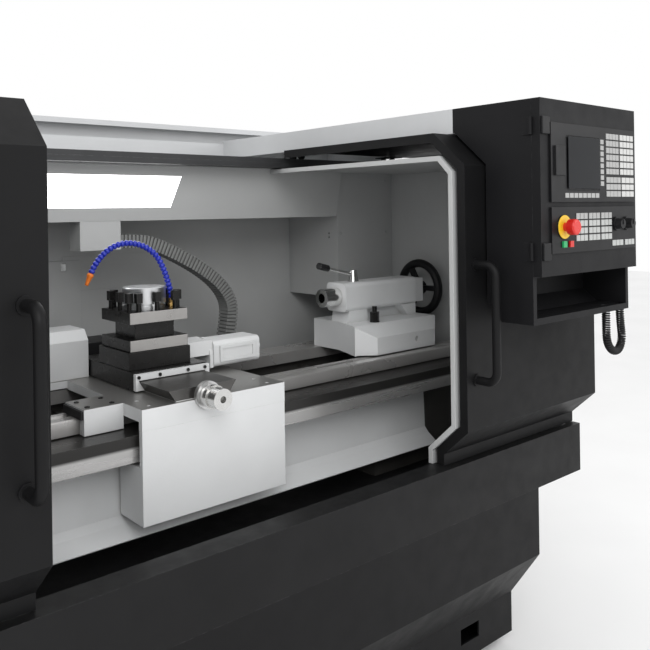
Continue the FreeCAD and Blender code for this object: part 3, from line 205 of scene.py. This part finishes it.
# ---------------------------------------------------------------- materials
class Shade:
    """One material's node tree, with short calls for the nodes that the surfaces share."""

    def __init__(self, name):
        self.material = bpy.data.materials.new(name)
        self.material.use_nodes = True
        self.tree = self.material.node_tree
        self.bsdf = self.tree.nodes["Principled BSDF"]
        self.coords = self.tree.nodes.new("ShaderNodeTexCoord")

    def add(self, kind):
        return self.tree.nodes.new(kind)

    def link(self, source, target):
        self.tree.links.new(source, target)

    def noise(self, size, detail=3.0, stretch=(1, 1, 1), rough=0.55):
        """Noise whose blobs are about size metres across, stretched by the three factors."""
        mapping = self.add("ShaderNodeMapping")
        mapping.inputs["Scale"].default_value = [1.0 / s for s in stretch]
        self.link(self.coords.outputs["Object"], mapping.inputs["Vector"])
        noise = self.add("ShaderNodeTexNoise")
        noise.inputs["Scale"].default_value = 1.0 / size
        noise.inputs["Detail"].default_value = detail
        noise.inputs["Roughness"].default_value = rough
        self.link(mapping.outputs["Vector"], noise.inputs["Vector"])
        return noise.outputs["Fac"]

    def span(self, value, low, high, from_low=0.3, from_high=0.7):
        node = self.add("ShaderNodeMapRange")
        node.inputs["From Min"].default_value = from_low
        node.inputs["From Max"].default_value = from_high
        node.inputs["To Min"].default_value = low
        node.inputs["To Max"].default_value = high
        self.link(value, node.inputs["Value"])
        return node.outputs["Result"]

    def mix(self, factor, first, second):
        """Colour mix; first and second are colours or sockets."""
        node = self.add("ShaderNodeMix")
        node.data_type = "RGBA"
        self.link(factor, node.inputs["Factor"])
        for value, socket in ((first, node.inputs[6]), (second, node.inputs[7])):
            if isinstance(value, tuple):
                socket.default_value = (*value, 1.0)
            else:
                self.link(value, socket)
        return node.outputs[2]

    def blend_value(self, factor, first, second):
        node = self.add("ShaderNodeMix")
        self.link(factor, node.inputs["Factor"])
        for value, socket in ((first, node.inputs[2]), (second, node.inputs[3])):
            if isinstance(value, float):
                socket.default_value = value
            else:
                self.link(value, socket)
        return node.outputs[0]

    def product(self, first, second):
        node = self.add("ShaderNodeMath")
        node.operation = "MULTIPLY"
        node.use_clamp = True
        self.link(first, node.inputs[0])
        if isinstance(second, float):
            node.inputs[1].default_value = second
        else:
            self.link(second, node.inputs[1])
        return node.outputs[0]

    def edges(self, radius):
        """0 on flat faces, rising to 1 on edges rounder than radius."""
        bevel = self.add("ShaderNodeBevel")
        bevel.samples = 4
        bevel.inputs["Radius"].default_value = radius
        geometry = self.add("ShaderNodeNewGeometry")
        dot = self.add("ShaderNodeVectorMath")
        dot.operation = "DOT_PRODUCT"
        self.link(bevel.outputs["Normal"], dot.inputs[0])
        self.link(geometry.outputs["Normal"], dot.inputs[1])
        return self.span(dot.outputs["Value"], 1.0, 0.0, 0.80, 0.985)

    def hollows(self, distance):
        """0 in the open, rising to 1 in corners and gaps; the mask for painted shade."""
        shade = self.add("ShaderNodeAmbientOcclusion")
        shade.samples = 4
        shade.inputs["Distance"].default_value = distance
        return self.span(shade.outputs["AO"], 1.0, 0.0, 0.35, 0.85)

    def where(self, output, axis, low, high):
        """Rises from 0 to 1 between two values of the object's own position or normal along one axis."""
        split = self.add("ShaderNodeSeparateXYZ")
        self.link(self.coords.outputs[output], split.inputs[0])
        return self.span(split.outputs[axis], 0.0, 1.0, low, high)

    def bump(self, height, strength, distance):
        node = self.add("ShaderNodeBump")
        node.inputs["Strength"].default_value = strength
        node.inputs["Distance"].default_value = distance
        self.link(height, node.inputs["Height"])
        self.link(node.outputs["Normal"], self.bsdf.inputs["Normal"])


def shaded(colour, factor):
    return tuple(min(1.0, c * factor) for c in colour)


def surface(name, colour, rough, metallic=0.0, tone=0.08, tone_size=0.18, grain_size=0.0025, grain=0.12,
            grain_depth=0.0004, stretch=(1, 1, 1), wear=None, wear_size=0.0015, hollow_shade=None, coat=0.0,
            specular=0.5, patches=()):
    """A painted, moulded or machined surface.

    Tone and gloss vary, the grain is a bump, edges wear, and hollows are darkened with painted shade.

    Each patch gives some faces another colour, gloss and metallic value, chosen by place or by normal.
    """
    s = Shade(name)
    cloud = s.noise(tone_size, 4.0, stretch)
    tint = s.mix(s.span(cloud, 0.0, 1.0), shaded(colour, 1.0 - tone), shaded(colour, 1.0 + tone))
    gloss = s.span(s.noise(tone_size * 0.3, 5.0, stretch), rough[0], rough[1])
    metal = metallic
    for (output, axis, low, high), patch_colour, patch_rough, patch_metal in patches:
        here = s.where(output, axis, low, high)
        dark = shaded(patch_colour, 1.0 - tone)
        light = shaded(patch_colour, 1.0 + tone)
        tint = s.mix(here, tint, s.mix(cloud, dark, light))
        gloss = s.blend_value(here, gloss, s.span(cloud, patch_rough[0], patch_rough[1]))
        metal = s.blend_value(here, metal, patch_metal)
    # painted shade: the colour is pulled towards a darker one in corners and gaps, where ambient occlusion
    # finds shade
    if hollow_shade:
        hollow_shade_colour, distance, amount = hollow_shade
        tint = s.mix(s.product(s.hollows(distance), amount), tint, hollow_shade_colour)
    if wear:
        wear_colour, amount = wear
        spots = s.span(s.noise(0.012, 6.0), 0.0, 1.0, 0.42, 0.62)
        rubbed = s.product(s.product(s.edges(wear_size), spots), amount)
        tint = s.mix(rubbed, tint, wear_colour)
    s.link(tint, s.bsdf.inputs["Base Color"])
    s.link(gloss, s.bsdf.inputs["Roughness"])
    if patches:
        s.link(metal, s.bsdf.inputs["Metallic"])
    else:
        s.bsdf.inputs["Metallic"].default_value = metallic
    s.bsdf.inputs["Coat Weight"].default_value = coat
    s.bsdf.inputs["Specular IOR Level"].default_value = specular
    s.bump(s.noise(grain_size, 2.0, stretch), grain, grain_depth)
    return s.material


def glow(name, colour, strength):
    """The lit plastic of a lamp, faintly mottled."""
    s = Shade(name)
    tint = s.mix(s.span(s.noise(0.05, 2.0), 0.0, 1.0), shaded(colour, 0.97), colour)
    s.link(tint, s.bsdf.inputs["Base Color"])
    s.link(tint, s.bsdf.inputs["Emission Color"])
    s.bsdf.inputs["Emission Strength"].default_value = strength
    s.link(s.span(s.noise(0.01), 0.25, 0.35), s.bsdf.inputs["Roughness"])
    s.bump(s.noise(0.004, 2.0), 0.05, 0.0003)
    return s.material


STEEL = (0.62, 0.62, 0.61)
# a brownish dark, painted as shade into the corners and gaps of steel and cast iron
HOLLOW_SHADE_BROWN = (0.05, 0.045, 0.035)

powder = surface("black_powder", (0.0075, 0.0075, 0.008), (0.42, 0.55), specular=0.16, tone=0.10,
                 grain_size=0.0016, grain=0.22, wear=((0.05, 0.05, 0.052), 0.5))
console_powder = surface("console_powder", (0.010, 0.010, 0.011), (0.45, 0.58), specular=0.16,
                         grain_size=0.0012, grain=0.20, wear=((0.085, 0.085, 0.088), 0.6))
# painted shade: the grey walls darken towards a deeper grey in their corners and gaps
wall_grey = surface("wall_grey", (0.49, 0.497, 0.495), (0.42, 0.55), tone=0.03, grain_size=0.002, grain=0.10,
                    wear=((0.72, 0.73, 0.74), 0.5), hollow_shade=((0.26, 0.27, 0.28), 0.05, 0.35))
silver_roof = surface("silver_roof", (0.60, 0.61, 0.62), (0.35, 0.48), tone=0.04, grain=0.08,
                      wear=((0.8, 0.8, 0.8), 0.5))
# painted shade: the white casting darkens in its corners and gaps
white_cast = surface("white_cast", (0.74, 0.75, 0.755), (0.36, 0.50), tone=0.035, grain_size=0.006,
                     grain=0.22,
                     grain_depth=0.0006, wear=((0.50, 0.49, 0.47), 0.35),
                     hollow_shade=((0.30, 0.29, 0.27), 0.02, 0.35))
# painted shade: the black tray goes darker still in its hollows
tray_black = surface("tray_black", (0.010, 0.010, 0.0105), (0.36, 0.55), specular=0.16, tone=0.14, grain=0.2,
                     wear=((0.10, 0.10, 0.10), 0.6), hollow_shade=((0.008, 0.008, 0.008), 0.05, 0.6))
# painted shade: brownish dark in the corners and gaps of the bed
cast_iron = surface("cast_iron", (0.085, 0.082, 0.078), (0.42, 0.60), metallic=0.35, tone=0.16,
                    grain_size=0.003, grain=0.25, wear=((0.35, 0.34, 0.33), 0.7), hollow_shade=(HOLLOW_SHADE_BROWN, 0.03, 0.5),
                    patches=((("Object", "Z", 0.8262, 0.8275), (0.50, 0.49, 0.48), (0.24, 0.38), 0.6),))
# painted shade: the white casting darkens in its corners and gaps
machined_cast = surface("machined_cast", (0.74, 0.75, 0.755), (0.36, 0.50), tone=0.04, grain_size=0.004,
                        grain=0.2, wear=((0.50, 0.49, 0.47), 0.35), hollow_shade=((0.30, 0.29, 0.27), 0.02, 0.35),
                        patches=((("Normal", "Z", 0.86, 0.94), (0.36, 0.355, 0.345), (0.26, 0.42), 0.8),
                                 (("Object", "Z", 0.8862, 0.8870), (0.10, 0.098, 0.095), (0.3, 0.45), 0.8)))
turret_plate = surface("turret_plate", (0.016, 0.0155, 0.015), (0.24, 0.40), metallic=0.6, tone=0.14,
                       tone_size=0.03,
                       grain_size=0.001, grain=0.12, grain_depth=0.0001, wear=((0.30, 0.30, 0.29), 0.9),
                       patches=((("Object", "Y", -0.0150, -0.0165), (0.36, 0.35, 0.34), (0.26, 0.40), 0.9),))
lever_steel = surface("lever_steel", (0.82, 0.82, 0.81), (0.08, 0.18), metallic=1.0, tone=0.04,
                      tone_size=0.03,
                      grain_size=0.0008, grain=0.05, grain_depth=0.0001, wear=((0.9, 0.9, 0.9), 0.5),
                      patches=((("Object", "X", 0.6712, 0.6700), (0.014, 0.014, 0.015), (0.22, 0.34), 0.0),))
motor_collar = surface("motor_collar", (0.012, 0.012, 0.013), (0.35, 0.5), tone=0.12, specular=0.35,
                       wear=((0.12, 0.12, 0.12), 0.6),
                       patches=((("Object", "Y", -0.10, -0.12), (0.60, 0.60, 0.60), (0.24, 0.36), 1.0),))
# painted shade: brownish dark in the corners and gaps of the guard
guard_steel = surface("guard_steel", (0.46, 0.455, 0.45), (0.22, 0.36), metallic=0.75, tone=0.06,
                      tone_size=0.05, grain_size=0.0012, grain=0.10, grain_depth=0.0002, stretch=(12, 1, 1),
                      wear=((0.7, 0.7, 0.7), 0.5), hollow_shade=(HOLLOW_SHADE_BROWN, 0.01, 0.4),
                      patches=((("Object", "Z", 0.7930, 0.8000), (0.030, 0.029, 0.028), (0.25, 0.4), 0.5),))
rail_steel = surface("rail_steel", (0.045, 0.046, 0.048), (0.35, 0.5), metallic=0.5, tone=0.10,
                     wear=((0.3, 0.3, 0.3), 0.5))
# painted shade: brownish dark in the corners and gaps of the ground steel
ground = surface("ground_steel", STEEL, (0.18, 0.32), metallic=1.0, tone=0.06, tone_size=0.05,
                 grain_size=0.0012, grain=0.10, grain_depth=0.0002, stretch=(1, 12, 1),
                 wear=((0.85, 0.85, 0.85), 0.5), hollow_shade=(HOLLOW_SHADE_BROWN, 0.012, 0.5))
# painted shade: brownish dark in the corners and gaps of the bright steel
bright = surface("bright_steel", (0.82, 0.82, 0.81), (0.08, 0.18), metallic=1.0, tone=0.05, tone_size=0.03,
                 grain_size=0.0008, grain=0.08, grain_depth=0.0001, wear=((0.9, 0.9, 0.9), 0.5),
                 hollow_shade=(HOLLOW_SHADE_BROWN, 0.01, 0.4))
satin = surface("satin_aluminium", (0.66, 0.67, 0.68), (0.28, 0.40), metallic=1.0, tone=0.05, tone_size=0.04,
                grain_size=0.0007, grain=0.12, grain_depth=0.0001, wear=((0.85, 0.85, 0.86), 0.5))
oxide = surface("black_oxide", (0.014, 0.0135, 0.013), (0.24, 0.40), metallic=0.6, tone=0.18, tone_size=0.03,
                grain_size=0.001, grain=0.12, grain_depth=0.0001, wear=((0.22, 0.22, 0.22), 0.9))
motor_black = surface("motor_black", (0.012, 0.012, 0.013), (0.35, 0.5), tone=0.12, specular=0.35,
                      wear=((0.12, 0.12, 0.12), 0.6))
rubber = surface("rubber", (0.010, 0.010, 0.011), (0.55, 0.70), tone=0.15, grain_size=0.0006, grain=0.2,
                 grain_depth=0.0002, wear=((0.05, 0.05, 0.05), 0.5), specular=0.35)
black_plastic = surface("black_plastic", (0.010, 0.010, 0.011), (0.30, 0.44), specular=0.2, tone=0.10,
                        grain_size=0.0008, grain=0.12, grain_depth=0.0001, wear=((0.09, 0.09, 0.09), 0.5))
key_grey = surface("key_grey", (0.36, 0.36, 0.355), (0.40, 0.52), tone=0.05, grain_size=0.0006, grain=0.1,
                   grain_depth=0.0001, wear=((0.55, 0.55, 0.54), 0.5),
                   patches=((("Object", "X", 1.0500, 1.0510), (0.55, 0.55, 0.54), (0.40, 0.52), 0.0),
                            (("Object", "Z", 1.2960, 1.2950), (0.44, 0.45, 0.44), (0.40, 0.52), 0.0)))
red = surface("red_plastic", (0.62, 0.018, 0.012), (0.22, 0.34), tone=0.06, grain_size=0.001, grain=0.06,
              grain_depth=0.0001, wear=((0.8, 0.2, 0.15), 0.4), coat=0.2)
yellow = surface("yellow_plastic", (0.80, 0.52, 0.02), (0.30, 0.42), tone=0.05, grain_size=0.001, grain=0.06,
                 grain_depth=0.0001, wear=((0.9, 0.75, 0.3), 0.4))
green = surface("green_plastic", (0.02, 0.36, 0.12), (0.25, 0.38), tone=0.06, grain_size=0.001, grain=0.06,
                grain_depth=0.0001, wear=((0.2, 0.6, 0.3), 0.4))
blue = surface("blue_plastic", (0.008, 0.022, 0.40), (0.20, 0.34), tone=0.08, tone_size=0.02,
               grain_size=0.001, grain=0.06, grain_depth=0.0001, wear=((0.2, 0.3, 0.9), 0.5), coat=0.25)
orange = surface("orange_plastic", (0.80, 0.20, 0.02), (0.25, 0.38), tone=0.06, grain_size=0.001, grain=0.06,
                 grain_depth=0.0001, wear=((0.95, 0.5, 0.2), 0.4))
brass = surface("brass", (0.72, 0.46, 0.16), (0.2, 0.34), metallic=1.0, tone=0.08, tone_size=0.02,
                grain_size=0.001, grain=0.08, grain_depth=0.0001, wear=((0.9, 0.7, 0.4), 0.5))
galvanised = surface("galvanised", (0.50, 0.51, 0.51), (0.35, 0.52), metallic=0.8, tone=0.12, tone_size=0.02,
                     grain=0.12, wear=((0.7, 0.7, 0.7), 0.5))
# painted shade: near-black in the gaps between the chain links
conduit = surface("conduit", (0.21, 0.215, 0.21), (0.40, 0.52), tone=0.10, tone_size=0.03, grain_size=0.001,
                  grain=0.12, grain_depth=0.0002, wear=((0.26, 0.27, 0.26), 0.7),
                  hollow_shade=((0.02, 0.02, 0.02), 0.01, 0.7))
glass = surface("screen_glass", (0.012, 0.013, 0.015), (0.06, 0.12), tone=0.10, grain_size=0.004, grain=0.02,
                grain_depth=0.0001, specular=0.15)
lamp = glow("lamp", (1.0, 1.0, 1.0), 4.0)

finishes = {
    powder: ("base_cabinet", "left_door", "right_door"),
    tray_black: ("coolant_tray", "electrical_cabinet"),
    guard_steel: ("screw_guard",),
    console_powder: ("console_body", "console_door"),
    wall_grey: ("rear_enclosure", "left_hood", "right_hood", "light_box", "rear_column"),
    silver_roof: ("roof_covers",),
    white_cast: ("headstock", "apron", "slide_end_plate", "turret_motor", "tailstock_body", "chip_pan",
                 "rear_cover"),
    machined_cast: ("saddle",),
    turret_plate: ("turret_head",),
    lever_steel: ("quill_lever",),
    motor_collar: ("x_motor",),
    rail_steel: ("door_rails",),
    cast_iron: ("bed",),
    ground: ("spindle", "chuck_body", "chuck_jaw_1", "chuck_jaw_2", "chuck_jaw_3", "motor_pulley",
             "z_ballscrew", "x_ballscrew"),
    bright: ("quill",),
    satin: ("turret_cap",),
    oxide: ("cross_slide", "turret_base", "turret_screws", "tailstock_clamp"),
    motor_black: ("coolant_pump", "main_motor", "z_motor"),
    rubber: ("curly_cord", "drive_belt", "way_wipers"),
    black_plastic: ("controller_unit", "control_plate", "feed_knob", "spindle_knob", "handwheel"),
    key_grey: ("console_keys",),
    conduit: ("cable_chain",),
    red: ("estop_button", "stop_button"),
    green: ("start_button",),
    blue: ("coolant_hose",),
    galvanised: ("levelling_feet",),
    lamp: ("led_panel",),
}
for material, names in finishes.items():
    for name in names:
        for slot in nodes[name].material_slots:
            slot.material = material


# ---------------------------------------------------------------- curly cord under the console shelf
CORD_ROUTE = [(1.057, -0.662, 1.040), (1.057, -0.662, 0.985), (1.060, -0.662, 0.940), (1.088, -0.662, 0.912),
              (1.126, -0.662, 0.910), (1.147, -0.662, 0.942), (1.137, -0.662, 0.990), (1.133, -0.662, 1.040)]
CORD_WIRE = 0.0054
CORD_COIL_R = 0.0092
CORD_PITCH = 0.0066


def curly_cord():
    line = nurbs_route(CORD_ROUTE)
    lengths = walk(line)
    turns = lengths[-1] / CORD_PITCH
    steps = int(turns * 16)
    side = Vector((0, 1, 0))
    points = []
    for i in range(steps + 1):
        place, ahead = at_length(line, lengths, lengths[-1] * i / steps)
        out = side.cross(ahead).normalized()
        angle = math.tau * turns * i / steps
        points.append(place + (side * math.cos(angle) + out * math.sin(angle)) * CORD_COIL_R)
    curve = bpy.data.curves.new("curly_cord_coil", "CURVE")
    curve.dimensions = "3D"
    curve.resolution_u = 2
    curve.bevel_depth = CORD_WIRE / 2
    curve.bevel_resolution = 3
    curve.use_fill_caps = True
    spline = curve.splines.new("NURBS")
    spline.points.add(len(points) - 1)
    for point, place in zip(spline.points, points):
        point.co = (*place, 1.0)
    spline.order_u = 3
    spline.use_endpoint_u = True
    obj = bpy.data.objects.new("curly_cord_coil", curve)
    curve.materials.append(rubber)
    collection.objects.link(obj)
    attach(obj, "machine")
    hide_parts("curly_cord")


curly_cord()


# ---------------------------------------------------------------- cable chain behind the carriage
CHAIN_Y = 0.354
CHAIN_HALF = 0.027
CHAIN_ROUTE = [(0.066, 1.262), (0.130, 1.262), (0.190, 1.250), (0.323, 1.186), (0.428, 1.115), (0.482, 1.038),
               (0.480, 0.960), (0.462, 0.8855)]
CHAIN_THICK = 0.040
CHAIN_PITCH = 0.0125


def cable_chain():
    line = nurbs_route([(x, CHAIN_Y, z) for x, z in CHAIN_ROUTE])
    lengths = walk(line)
    count = int(lengths[-1] / CHAIN_PITCH)
    bm = bmesh.new()
    for i in range(count):
        middle, ahead = at_length(line, lengths, (i + 0.5) * lengths[-1] / count)
        place = basis(middle, ahead, Vector((0, 1, 0)))
        # local X lies across the chain's thickness, local Y along its width
        rib = 0.33 * CHAIN_PITCH
        link = 0.53 * CHAIN_PITCH
        add_box(bm, (0.003, -CHAIN_HALF + 0.004, -link), (CHAIN_THICK - 0.003, CHAIN_HALF - 0.004, link),
                place)
        add_box(bm, (0.0, -CHAIN_HALF, -rib), (CHAIN_THICK, CHAIN_HALF, rib), place)
    obj = add_mesh("cable_chain_links", bm, conduit)
    bevel = obj.modifiers.new("round", "BEVEL")
    bevel.width = 0.0008
    bevel.segments = 1
    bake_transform(obj)
    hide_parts("cable_chain")


cable_chain()


# ---------------------------------------------------------------- jointed coolant hose on the turret
HOSE_ROUTE = [(0.072, 0.038, 1.097), (0.056, 0.048, 1.190), (0.008, 0.066, 1.243), (-0.060, 0.084, 1.250),
              (-0.112, 0.100, 1.205), (-0.124, 0.104, 1.172)]
BEAD_PITCH = 0.0105


def coolant_hose():
    line = nurbs_route(HOSE_ROUTE)
    lengths = walk(line)
    count = int(lengths[-1] / BEAD_PITCH)
    beads = bmesh.new()
    bead = [(0.0052, -0.0060), (0.0062, -0.0045), (0.0080, -0.0022), (0.0082, 0.0012), (0.0072, 0.0036),
            (0.0056, 0.0046), (0.0048, 0.0060)]
    for i in range(count):
        middle, ahead = at_length(line, lengths, (i + 0.5) * lengths[-1] / count)
        add_turned(beads, basis(middle, ahead, Vector((0, 1, 0))), closed(bead), 20)
    hose = add_mesh("hose_beads", beads, blue, smooth=True)
    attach(hose, "turret")
    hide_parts("coolant_hose")
    end, ahead = at_length(line, lengths, lengths[-1])
    tip = bmesh.new()
    cone = [(0.0060, 0.0), (0.0085, 0.003), (0.0088, 0.008), (0.0070, 0.011), (0.0048, 0.027),
            (0.0048, 0.033), (0.0030, 0.033), (0.0030, 0.026)]
    add_turned(tip, basis(end, ahead, Vector((0, 1, 0))), closed(cone), 24)
    nozzle = add_mesh("hose_nozzle", tip, orange, smooth=True)
    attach(nozzle, "turret")
    start, ahead = at_length(line, lengths, 0.0)
    foot = bmesh.new()
    base_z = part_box("turret_head")[1][2]
    place = basis((start.x, start.y, base_z), (0, 0, 1))
    nut = [(0.0105, 0.0), (0.0112, 0.001), (0.0112, 0.009), (0.0100, 0.010)]
    add_turned(foot, place, closed(nut), 6)
    rise = start.z - base_z
    neck = [(0.0078, 0.008), (0.0078, rise - 0.006), (0.0092, rise - 0.005), (0.0092, rise + 0.001)]
    add_turned(foot, place, closed(neck), 24)
    fitting = add_mesh("hose_fitting", foot, brass)
    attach(fitting, "turret")


coolant_hose()


# ---------------------------------------------------------------- rounded edges on the CAD pieces
def round_edges(name, width, angle=35.0):
    obj = nodes[name]
    weld = obj.modifiers.new("weld", "WELD")
    weld.merge_threshold = 0.00001
    flat = obj.modifiers.new("flat", "DECIMATE")
    flat.decimate_type = "DISSOLVE"
    flat.angle_limit = math.radians(0.4)
    bevel = obj.modifiers.new("bevel", "BEVEL")
    bevel.width = width
    bevel.segments = 2
    bevel.limit_method = "ANGLE"
    bevel.angle_limit = math.radians(angle)
    even = obj.modifiers.new("even", "WEIGHTED_NORMAL")
    even.weight = 100


for name, width in (("slide_end_plate", 0.0010), ("turret_base", 0.0012), ("turret_head", 0.0012),
                    ("turret_screws", 0.0008), ("cross_slide", 0.0008), ("apron", 0.0020),
                    ("screw_guard", 0.0008),
                    ("handwheel", 0.0008), ("tailstock_body", 0.0015), ("estop_button", 0.0006),
                    ("start_button", 0.0006), ("stop_button", 0.0006), ("rear_cover", 0.0020),
                    ("left_hood", 0.0012), ("right_hood", 0.0012), ("controller_unit", 0.0015)):
    round_edges(name, width)


# ---------------------------------------------------------------- small fittings
def fitting(name, material, low, high, body, slot, width=0.001):
    """A small rounded block on one body."""
    bm = bmesh.new()
    add_box(bm, low, high)
    obj = add_mesh(name, bm, material)
    bevel = obj.modifiers.new("round", "BEVEL")
    bevel.width = width
    bevel.segments = 3
    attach(obj, body)
    return obj


def screws(name, material, places, axis, radius, height, body):
    """Socket screws on one body, each from the place where its head starts."""
    bm = bmesh.new()
    for place in places:
        add_socket_screw(bm, place, axis, radius, height)
    obj = add_mesh(name, bm, material)
    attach(obj, body)


def estop_disc():
    plate_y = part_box("control_plate")[0][1]
    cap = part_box("estop_button")
    bm = bmesh.new()
    place = basis(((cap[0][0] + cap[1][0]) / 2, plate_y, (cap[0][2] + cap[1][2]) / 2), (0, -1, 0))
    add_turned(bm, place, closed([(0.0300, -0.001), (0.0300, 0.0006), (0.0294, 0.0012)]), 48)
    obj = add_mesh("estop_disc", bm, yellow)
    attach(obj, "console_door")


unit_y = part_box("controller_unit")[0][1]
door_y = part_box("console_door")[0][1]

SCREEN_LOW = (0.788, 1.372)
SCREEN_HIGH = (0.942, 1.506)
FLAP_LOW = (0.728, 1.405)
FLAP_HIGH = (0.770, 1.480)
HINGE_X0 = 0.680
HINGE_X1 = 0.712
HINGE_Z = (1.193, 1.507)
HINGE_TALL = 0.044
END_PLATE_Y = -0.0605
END_PLATE_SCREWS = ((-0.078, 0.922), (-0.020, 0.922), (0.060, 0.922), (0.110, 0.922), (0.112, 0.900))
SADDLE_TOP = 0.885
SADDLE_SCREW_X = (-0.230, -0.170)
SADDLE_SCREW_Y = (-0.105, -0.045)
COLUMN_FRONT_Y = 0.3232
COLUMN_SCREW_X = (0.940, 1.180)
COLUMN_SCREW_Z = (1.030, 1.240, 1.440)
WALL_FRONT_Y = 0.6112

fitting("screen_glass", glass, (SCREEN_LOW[0], unit_y - 0.0012, SCREEN_LOW[1]),
        (SCREEN_HIGH[0], unit_y + 0.001, SCREEN_HIGH[1]), "console_door", "console_plastic")
fitting("usb_flap", black_plastic, (FLAP_LOW[0], unit_y - 0.003, FLAP_LOW[1]),
        (FLAP_HIGH[0], unit_y + 0.001, FLAP_HIGH[1]), "console_door", "console_plastic", 0.0015)
for index, z in enumerate(HINGE_Z):
    fitting("hinge_leaf_%d" % index, black_plastic, (HINGE_X0, door_y - 0.006, z),
            (HINGE_X1, door_y + 0.001, z + HINGE_TALL), "console_door", "console_plastic", 0.002)
estop_disc()
screws("end_plate_screws", oxide, [(x, END_PLATE_Y, z) for x, z in END_PLATE_SCREWS],
       (0, -1, 0), 0.0040, 0.0030, "cross_slide")
screws("saddle_screws", oxide, [(x, y, SADDLE_TOP - 0.001) for x in SADDLE_SCREW_X for y in SADDLE_SCREW_Y],
       (0, 0, 1), 0.0060, 0.0035, "carriage")
screws("column_screws", galvanised, [(x, COLUMN_FRONT_Y, z) for x in COLUMN_SCREW_X for z in COLUMN_SCREW_Z],
       (0, -1, 0), 0.0050, 0.0030, "machine")
fitting("wall_cover", wall_grey, (0.005, WALL_FRONT_Y - 0.0022, 1.078), (0.302, WALL_FRONT_Y, 1.190),
        "machine", "grey_powder_coat", 0.0008)
fitting("wall_latch", galvanised, (-0.004, WALL_FRONT_Y - 0.0092, 1.143), (0.014, WALL_FRONT_Y, 1.169),
        "machine", "grey_powder_coat", 0.002)


# ---------------------------------------------------------------- floor, light and camera
def stage():
    bm = bmesh.new()
    half = 14.0
    low = cad_box[0][2]
    corners = [bm.verts.new((x, y, low)) for x,
               y in ((-half, -half), (half, -half), (half, half), (-half, half))]
    bm.faces.new(corners)
    s = Shade("floor")
    tint = s.mix(s.span(s.noise(0.8), 0.0, 1.0), (0.86, 0.86, 0.86), (0.90, 0.90, 0.90))
    s.link(tint, s.bsdf.inputs["Base Color"])
    s.bsdf.inputs["Roughness"].default_value = 0.8
    floor = add_mesh("floor", bm, s.material)
    world = bpy.data.worlds.new("studio")
    world.use_nodes = True
    world.node_tree.nodes["Background"].inputs["Color"].default_value = (1.0, 1.0, 1.0, 1.0)
    world.node_tree.nodes["Background"].inputs["Strength"].default_value = 1.0
    bpy.context.scene.world = world


def area_light(name, place, target, size, power):
    light = bpy.data.lights.new(name, "AREA")
    light.shape = "RECTANGLE"
    light.size = size[0]
    light.size_y = size[1]
    light.energy = power
    obj = bpy.data.objects.new(name, light)
    obj.location = place
    obj.rotation_euler = (Vector(target) - Vector(place)).to_track_quat("-Z", "Y").to_euler()
    collection.objects.link(obj)


KEY_PLACE = (-1.6, -3.2, 3.4)
KEY_POWER = 60.0
FILL_PLACE = (2.6, -3.0, 2.2)
FILL_POWER = 20.0

EYE = Vector((-0.951, -1.773, 1.325))
AHEAD = Vector((0.655, 0.756, 0.0)).normalized()
SENSOR = 36.0               # mm
FOCAL = 42.2030769
ROLL = math.atan(0.0143)    # the horizon rises to the right
SHIFT_Y = -0.176            # the lens is shifted, not tilted


def camera():
    data = bpy.data.cameras.new("camera")
    data.sensor_width = SENSOR
    data.lens = FOCAL
    data.shift_y = SHIFT_Y
    data.clip_start = 0.05
    right = Vector((AHEAD.y, -AHEAD.x, 0.0))
    up = Vector((0.0, 0.0, 1.0))
    x = right * math.cos(ROLL) - up * math.sin(ROLL)
    y = right * math.sin(ROLL) + up * math.cos(ROLL)
    z = -AHEAD
    obj = bpy.data.objects.new("camera", data)
    obj.matrix_world = Matrix(((x.x, y.x, z.x, EYE.x), (x.y, y.y, z.y, EYE.y), (x.z, y.z, z.z, EYE.z),
                               (0, 0, 0, 1)))
    collection.objects.link(obj)
    bpy.context.scene.camera = obj


stage()
area_light("key", KEY_PLACE, (0.2, 0.1, 1.0), (2.4, 2.4), KEY_POWER)
area_light("fill", FILL_PLACE, (0.6, -0.4, 1.0), (2.0, 2.0), FILL_POWER)
camera()
bpy.context.scene.view_settings.view_transform = "Standard"
